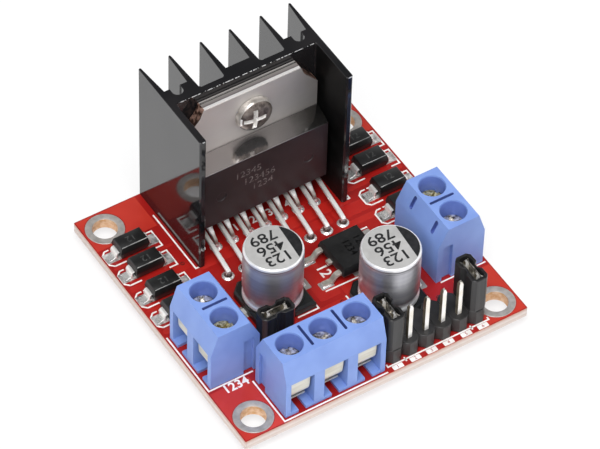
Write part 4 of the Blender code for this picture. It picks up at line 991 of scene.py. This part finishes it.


# Flyback diodes: eight moulded blocks with a folded tin foot at each end, drafted top and bottom
# from a parting line, their feet sunk in solder on the pads.
# Painted highlight: a light grey on the narrow front faces at the top rim of each diode.
diode_edge_highlight = new_finish("diode_edge_highlight", (0.3, 0.3, 0.29), 0.4)
tint(diode_edge_highlight, 1.2, (0.12, 0.12, 0.12), (0.5, 0.5, 0.48))
mould_levels = [(0.25, 0.22), (1.2, 0.0), (1.3, 0.0), (2.12, 0.17), (2.2, 0.21), (2.25, 0.29)]
for side, x in diode_columns.items():
    text_turn = 180.0 if side == "left" else 0.0
    for number, y in enumerate(diode_rows, 1):
        name = "diode_%s_%d" % (side, number)
        shapes = [(moved(stacked(rectangle(4.3, 2.6), mould_levels), x, y), 0)]
        for end, rise, half in ((-1, 0.5, 0.6), (1, 0.34, 0.75)):
            reach = smooth_path([(end * 1.9, 0, 1.22), (end * 2.35, 0, 1.22), (end * 2.52, 0, 0.95),
                                 (end * 2.5, 0, 0.3), (end * 2.2, 0, 0.16), (end * 1.6, 0, 0.15)], 4)
            foot = swept(reach, rounded_rectangle(1.5, 0.2, 0.05, 2), side=(0.0, 1.0, 0.0))
            shapes.append((moved(foot, x, y), 1))
            outward = np.linspace(0, 1, 8)
            slope = np.column_stack([2.5 + 1.1 * outward, 0.04 + rise * (1 - outward) ** 1.8])
            wedge = np.vstack([slope, [(3.6, 0.03), (2.3, 0.03), (2.3, 0.04 + rise)]]) * (end, 1)
            order = wedge if end == -1 else wedge[::-1]
            depth = [(-half, 0.06), (0.07 - half, 0), (half - 0.07, 0), (half, 0.06)]
            shapes.append((moved(moved(stacked(order, depth), lay="Y"), x, y), 2 if end == -1 else 4))
        shapes.append((digits("12", 1.0, text_turn, x, y, 2.245), 3))
        diode_mesh = mesh_of(shapes)
        # The top rim's front faces take the painted highlight.
        for face in diode_mesh.polygons:
            at_rim = face.normal.y < -0.4 and face.center.z * 1000 - board_top > 2.19
            if at_rim and face.normal.z > 0.6:
                face.material_index = 5
        finishes = [chip_black, lead_tin, solder, faint_mark, pale_tin, diode_edge_highlight]
        put_piece(name + "_mould", diode_mesh, finishes, [name])


# Screw terminals: blue nylon housings five millimetres a pole, open at the wire side, with a
# well over each screw, a slit behind it and an upright groove on each end.
blue_nylon = new_finish("blue_nylon", (0.2, 0.31, 0.68), 0.42)
tint(blue_nylon, 4.0, (0.185, 0.29, 0.65), (0.215, 0.33, 0.7), 2.0)
grain(blue_nylon, 0.25, 0.008)
blue_shader = blue_nylon.node_tree.nodes["Principled BSDF"]
blue_shader.inputs["Subsurface Weight"].default_value = 0.06
blue_shader.inputs["Subsurface Radius"].default_value = (0.0004, 0.0005, 0.0012)
# Painted shade: darker blues of the same nylon for the slits, the dividing slots and the walls of the
# wells.
blue_slot_shade = new_finish("blue_slot_shade", (0.085, 0.13, 0.4), 0.5)
tint(blue_slot_shade, 2.0, (0.075, 0.115, 0.36), (0.095, 0.145, 0.44))
blue_well_shade = new_finish("blue_well_shade", (0.13, 0.2, 0.53), 0.42)
tint(blue_well_shade, 2.0, (0.115, 0.18, 0.49), (0.145, 0.22, 0.57))
leaf_metal = new_finish("clamp_leaf", (0.68, 0.65, 0.55), 0.4, 0.4)
tint(leaf_metal, 1.4, (0.6, 0.57, 0.47), (0.76, 0.74, 0.65), 2.0, (0.3, 0.3, 1.5))
brass = new_finish("brass_screw", (0.62, 0.5, 0.2), 0.3, 0.7)
tint(brass, 0.4, (0.22, 0.17, 0.04), (0.95, 0.86, 0.5))
zinc = new_finish("zinc_screw", (0.6, 0.58, 0.55), 0.25, 0.7)
tint(zinc, 0.5, (0.1, 0.08, 0.06), (0.97, 0.95, 0.92))
terminals = (("left", 2, (-20.85, -6.92), -90.0), ("front", 3, (-7.65, -20.85), 0.0),
             ("right", 2, (20.85, -6.9), 90.0))
pole_pitch = 5.0
well_y = 3.45
tail_y = 3.9
block_top = 9.7
slope_foot = 7.3
slope_top = 5.8
slope_run = slope_foot - slope_top
slope_fall = 3.1
slit_shift = -0.2
for side, poles, (seat_x, seat_y), turn in terminals:
    length = poles * pole_pitch
    seating = Matrix.Translation((seat_x / 1000, seat_y / 1000, 0)) \
        @ Matrix.Rotation(math.radians(turn), 4, "Z")
    pole_x = [(k - (poles - 1) / 2) * pole_pitch for k in range(poles)]
    profile = np.array([(0, 0.05), (slope_foot, 0.05), (slope_foot, block_top - slope_fall),
                        (slope_top, block_top), (1.05, block_top), (0, 6.4)])
    shell = moved(stacked(profile, [(-length / 2, 0), (length / 2, 0)]), lay="X")
    hollows = []
    for end in (-length / 2, length / 2):
        hollows.append(box(end - 0.45, 4.95, -1, end + 0.45, 6.45, 6.4))
    for x in pole_x:
        well = stacked(disc(1.75, 56), [(5.5, 0), (9.5, 0), (9.72, -0.12), (12, -0.12)])
        hollows.append(moved(well, x, well_y))
        hollows.append(box(x - 1.75, -1, 0.55, x + 1.75, 5.6, 6.1))
        hollows.append(box(x - 0.55, -1, -1, x + 0.55, 5.0, 1.0))
        points, faces = stacked(rounded_rectangle(0.62, 2.0, 0.3, 6), [(-0.6, 0), (1.5, 0)])
        tilt = math.atan2(slope_fall, slope_run)
        c, s = math.cos(tilt), math.sin(tilt)
        tilted = np.column_stack([points[:, 0], points[:, 2] * s - points[:, 1] * c,
                                  points[:, 1] * s + points[:, 2] * c])
        hollows.append((tilted + (x + slit_shift, 6.45, 8.35), faces))
    for k in range(1, poles):
        slot = stacked(rounded_rectangle(0.4, 3.7, 0.18, 5), [(8.7, 0), (11, 0)])
        hollows.append(moved(slot, k * pole_pitch - length / 2, 3.6))
    housing = carved(shell, hollows)
    for face in housing.polygons:
        centre = face.center * 1000
        height = centre.z - board_top
        nearest = min(pole_x, key=lambda x: abs(centre.x - x))
        from_pole = abs(centre.x - nearest)
        between = abs(from_pole - pole_pitch / 2) < 0.22 and abs(centre.x) < length / 2 - 0.5
        past_slope = (centre.y - slope_top) * slope_fall + (height - block_top) * slope_run
        under_slope = past_slope / math.hypot(slope_run, slope_fall)
        near_slit = centre.y > slope_top - 0.2 and abs(centre.x - nearest - slit_shift) < 0.36
        in_slit = near_slit and -0.65 < under_slope < -0.03
        in_slot = between and 1.7 < centre.y < 5.5 and 8.6 < height < 9.68
        on_wall = 1.6 < math.hypot(centre.x - nearest, centre.y - well_y) < 1.8
        in_well = on_wall and height > 6.2 and abs(face.normal.z) < 0.3
        # Slits and slots take the darker painted shade, well walls the lighter one.
        face.material_index = 1 if in_slit or in_slot else 2 if in_well else 0
    housing.transform(seating)
    put_piece("terminal_%s_block" % side, housing, [blue_nylon, blue_slot_shade, blue_well_shade],
              ["terminal_%s_housing" % side], edge=0.1, sharp=30)

    # Terminal screws: slotted cheese heads down in their wells, zinc plated but for the second
    # one on the left and on the right, which are brass.
    for number, x in enumerate(pole_x, 1):
        head = turned([(0, 7.3), (1.35, 7.3), (1.58, 7.15), (1.65, 6.95), (1.65, 6.1), (1.2, 6.1),
                       (1.2, 5.15), (0.8, 4.95), (0, 4.95)], 40)
        slot_turn = 25.0 + 47.0 * number
        slot = moved(moved(box(-2.5, -0.28, 6.72, 2.5, 0.28, 9), turn=slot_turn), x, well_y)
        cross = moved(moved(box(-1.1, -0.26, 6.6, 1.1, 0.26, 9), turn=slot_turn + 90), x, well_y)
        mesh = carved(moved(head, x, well_y), [slot, cross])
        mesh.transform(seating)
        metal = brass if side != "front" and number == 2 else zinc
        name = "terminal_%s_screw_%d" % (side, number)
        put_piece(name + "_head", mesh, [metal], [name], sharp=40)

        # Terminal clamps: a folded nickel strip, its leaf in the window and its tail through the
        # board. A dark strip behind the leaf stands for the shade inside the clamp.
        strip = rounded_rectangle(2.9, 0.28, 0.06, 2)
        leaf = smooth_path([(x, 5.2, 4.75), (x, 3.2, 4.8), (x, 1.7, 5.3), (x, 0.95, 5.7), (x, 0.7, 5.2),
                            (x, 0.72, 4.1), (x, 0.8, 3.3), (x, 1.15, 2.75), (x, 1.8, 2.5)], 5)
        plate = smooth_path([(x, 5.3, 4.6), (x, 5.35, 2.5), (x, 5.1, 1.1), (x, 4.0, 0.95),
                             (x, 1.7, 1.1)], 4)
        narrowing = np.linspace(0.0, 1.0, len(leaf)) ** 6 * -0.34 + 1.0
        taper = np.column_stack([narrowing, np.ones(len(leaf))])
        tail = [(x, tail_y, 1.0), (x, tail_y, -1.0), (x, tail_y, tail_end)]
        shapes = [(swept(leaf, strip, scale=taper), 0), (swept(plate, strip), 0)]
        shapes.append((box(x - 1.7, 4.6, 0.6, x + 1.7, 4.66, 4.5), 2))
        shapes.append((swept(tail, rounded_rectangle(1.0, 0.5, 0.08, 2)), 0))
        shapes.append((moved(solder_dome(0.95, 0.9, 0.5), x, tail_y), 1))
        shapes = [(moved(shape, seat_x, seat_y, turn=turn), finish) for shape, finish in shapes]
        name = "terminal_%s_clamp_%d" % (side, number)
        put_piece(name + "_strip", mesh_of(shapes), [leaf_metal, solder, seam_and_shade_dark], [name])


# Pin headers: black nylon strips moulded as a row of eight-sided blocks, with square pins pushed
# through them. The front row has six pins, and one stands behind each end of it.
header_nylon = new_finish("header_nylon", (0.02, 0.019, 0.019), 0.38)
tint(header_nylon, 1.5, (0.014, 0.013, 0.013), (0.028, 0.027, 0.027))
grain(header_nylon, 0.15, 0.012)
pin_metal = new_finish("pin_metal", (0.9, 0.87, 0.81), 0.34, 0.5)
tint(pin_metal, 2.0, (0.86, 0.81, 0.72), (0.95, 0.93, 0.9), 1.0)
# Painted shade: a darker brown metal for the pins' -X faces above the board.
pin_shaded_side = new_finish("pin_shaded_side", (0.3, 0.25, 0.18), 0.35, 0.8)
tint(pin_shaded_side, 1.5, (0.2, 0.17, 0.12), (0.42, 0.36, 0.26))
contact_metal = new_finish("contact_metal", (0.45, 0.42, 0.37), 0.3, 0.95)
tint(contact_metal, 0.5, (0.14, 0.125, 0.1), (0.8, 0.77, 0.72))
pitch = 2.54
header_x, header_y = 8.26, -19.2
supply_x, supply_y = -10.5, -10.8


def header_block(x, y, rows):
    """One block of a header: a rectangle with its corners cut, as high as the strip."""
    half = pitch / 2 - 0.02
    deep = rows * pitch / 2 - 0.02
    cut = 0.7
    outline = [(-half, -deep + cut), (-half + cut, -deep), (half - cut, -deep), (half, -deep + cut),
               (half, deep - cut), (half - cut, deep), (-half + cut, deep), (-half, deep - cut)]
    return moved(stacked(outline, [(0.05, 0.05), (0.12, 0), (2.42, 0), (2.5, 0.07)]), x, y)


column_x = [header_x + (k - 2.5) * pitch for k in range(6)]
pins = {"control_pin_%d" % number: (x, header_y) for number, x in enumerate(column_x, 1)}
pins["enable_supply_pin_1"] = (column_x[0], header_y + pitch)
pins["enable_supply_pin_2"] = (column_x[-1], header_y + pitch)
pins["regulator_enable_pin_1"] = (supply_x - pitch / 2, supply_y)
pins["regulator_enable_pin_2"] = (supply_x + pitch / 2, supply_y)
control = [(header_block(x, header_y + pitch / 2, 2), 0) for x in column_x]
control.append((box(header_x - 2.4 * pitch, -18.9, 0.3, header_x + 2.4 * pitch, -17.0, 2.3), 0))
put_piece("control_header_strip", mesh_of(control), [header_nylon],
          ["control_header_base"])
supply = [(header_block(supply_x + side * pitch / 2, supply_y, 1), 0) for side in (-1, 1)]
supply.append((box(-11.2, -11.3, 0.3, -9.8, -10.3, 2.3), 0))
put_piece("regulator_header_strip", mesh_of(supply), [header_nylon],
          ["regulator_header_base"])
square = rounded_rectangle(0.64, 0.64, 0.07, 3)
for name, (x, y) in pins.items():
    pin = stacked(square, [(tail_end, 0.12), (-2.9, 0.0), (8.15, 0.0), (8.59, 0.17)])
    shapes = [(moved(pin, x, y), 0), (moved(solder_dome(0.95, 0.9, 0.4), x, y), 1)]
    pin_mesh = mesh_of(shapes)
    # The -X faces above the board take the painted shade.
    for face in pin_mesh.polygons:
        if face.normal.x < -0.6 and face.center.z * 1000 > board_top + 1.0:
            face.material_index = 2
    put_piece(name + "_post", pin_mesh, [pin_metal, solder, pin_shaded_side], [name], sharp=30)


# Jumpers: a black nylon sleeve, open on top, with a lobe round each pin and a waist between them,
# over a sprung contact of folded tin that joins two pins.
def lobed_outline(half_width, half_length, corner, waist):
    """Outline of a sleeve: wide at both ends, its corners cut, and narrower in the middle."""
    quarter = [(half_width - waist, 0.25), (half_width, 0.7), (half_width, half_length - corner),
               (half_width - corner, half_length)]
    outline = quarter + [(-u, v) for u, v in quarter[::-1]]
    return np.array(outline + [(-u, -v) for u, v in outline])


sleeve_nylon = new_finish("sleeve_nylon", (0.014, 0.013, 0.014), 0.3)
tint(sleeve_nylon, 0.5, (0.008, 0.008, 0.008), (0.024, 0.023, 0.024), 3.0, (1.0, 1.0, 0.05))
grain(sleeve_nylon, 0.3, 0.01, (1.0, 1.0, 0.05))
jumpers = (("jumper_enable_left", column_x[0], header_y + pitch / 2, 0.0),
           ("jumper_enable_right", column_x[-1], header_y + pitch / 2, 0.0),
           ("jumper_regulator", supply_x, supply_y, 90.0))
outer = lobed_outline(1.22, 2.45, 0.5, 0.45)
inner = lobed_outline(0.8, 2.03, 0.25, 0.2)
sleeve = lofted([(inset(outer, 0.05), 2.56), (outer, 2.62), (outer, 8.47), (inset(outer, 0.07), 8.55),
                 (inner, 8.55), (inset(inner, 0.02), 8.4), (inset(inner, 0.02), 6.2)])
for name, x, y, turn in jumpers:
    put_piece(name + "_sleeve", mesh_of([(moved(sleeve, x, y, turn=turn), 0)]), [sleeve_nylon],
              [name + "_shell"])
    contact = []
    for side in (-1, 1):
        spring = smooth_path([(side * 0.62, -1.75, 0), (side * 0.42, -1.27, 0), (side * 0.46, 0, 0),
                              (side * 0.42, 1.27, 0), (side * 0.62, 1.75, 0)], 5)
        wall = swept(spring, rounded_rectangle(2.2, 0.16, 0.04, 2), side=(0.0, 0.0, 1.0))
        contact.append((moved(moved(wall, 0, 0, 7.15), x, y, turn=turn), 0))
    bridge = box(-0.42, -0.4, 6.6, 0.42, 0.4, 7.0, 0.06)
    contact.append((moved(bridge, x, y, turn=turn), 0))
    put_piece(name + "_spring", mesh_of(contact), [contact_metal], [name + "_contact"])


# Small parts: a red indicator light, its resistor and two ceramic blocks, each with tinned ends
# soldered flat to the board.
lens = new_finish("red_lens", (0.8, 0.1, 0.08), 0.16, coat=0.5)
tint(lens, 0.6, (0.7, 0.07, 0.05), (0.9, 0.16, 0.12))
tan_ceramic = new_finish("tan_ceramic", (0.5, 0.36, 0.22), 0.5)
tint(tan_ceramic, 0.5, (0.42, 0.29, 0.17), (0.58, 0.43, 0.28))
grain(tan_ceramic, 0.1, 0.01)
small_parts = (("power_led", 12.1, -3.3, 0.0, lens, "clear_red"),
               ("led_resistor", 12.1, -5.5, 0.0, chip_black, "black_plastic"),
               ("filter_capacitor_1", -1.0, 1.6, 0.0, tan_ceramic, "ceramic"),
               ("filter_capacitor_2", 12.1, -7.7, 90.0, tan_ceramic, "ceramic"))
for name, x, y, turn, body_finish, slot in small_parts:
    shapes = [(box(-0.68, -0.6, 0.06, 0.68, 0.6, 0.84, 0.06), 0)]
    for end in (-1, 1):
        low, high = sorted((end * 0.64, end * 1.0))
        shapes.append((box(low, -0.625, 0.05, high, 0.625, 0.85, 0.07), 1))
        land = stacked(rounded_rectangle(0.9, 1.5, 0.15, 4), [(0.001, 0), (0.05, 0.02), (0.12, 0.2)])
        shapes.append((moved(land, end * 1.0, 0), 2))
    shapes = [(moved(shape, x, y, turn=turn), finish) for shape, finish in shapes]
    put_piece(name + "_block", mesh_of(shapes), [body_finish, tin, solder], [name])
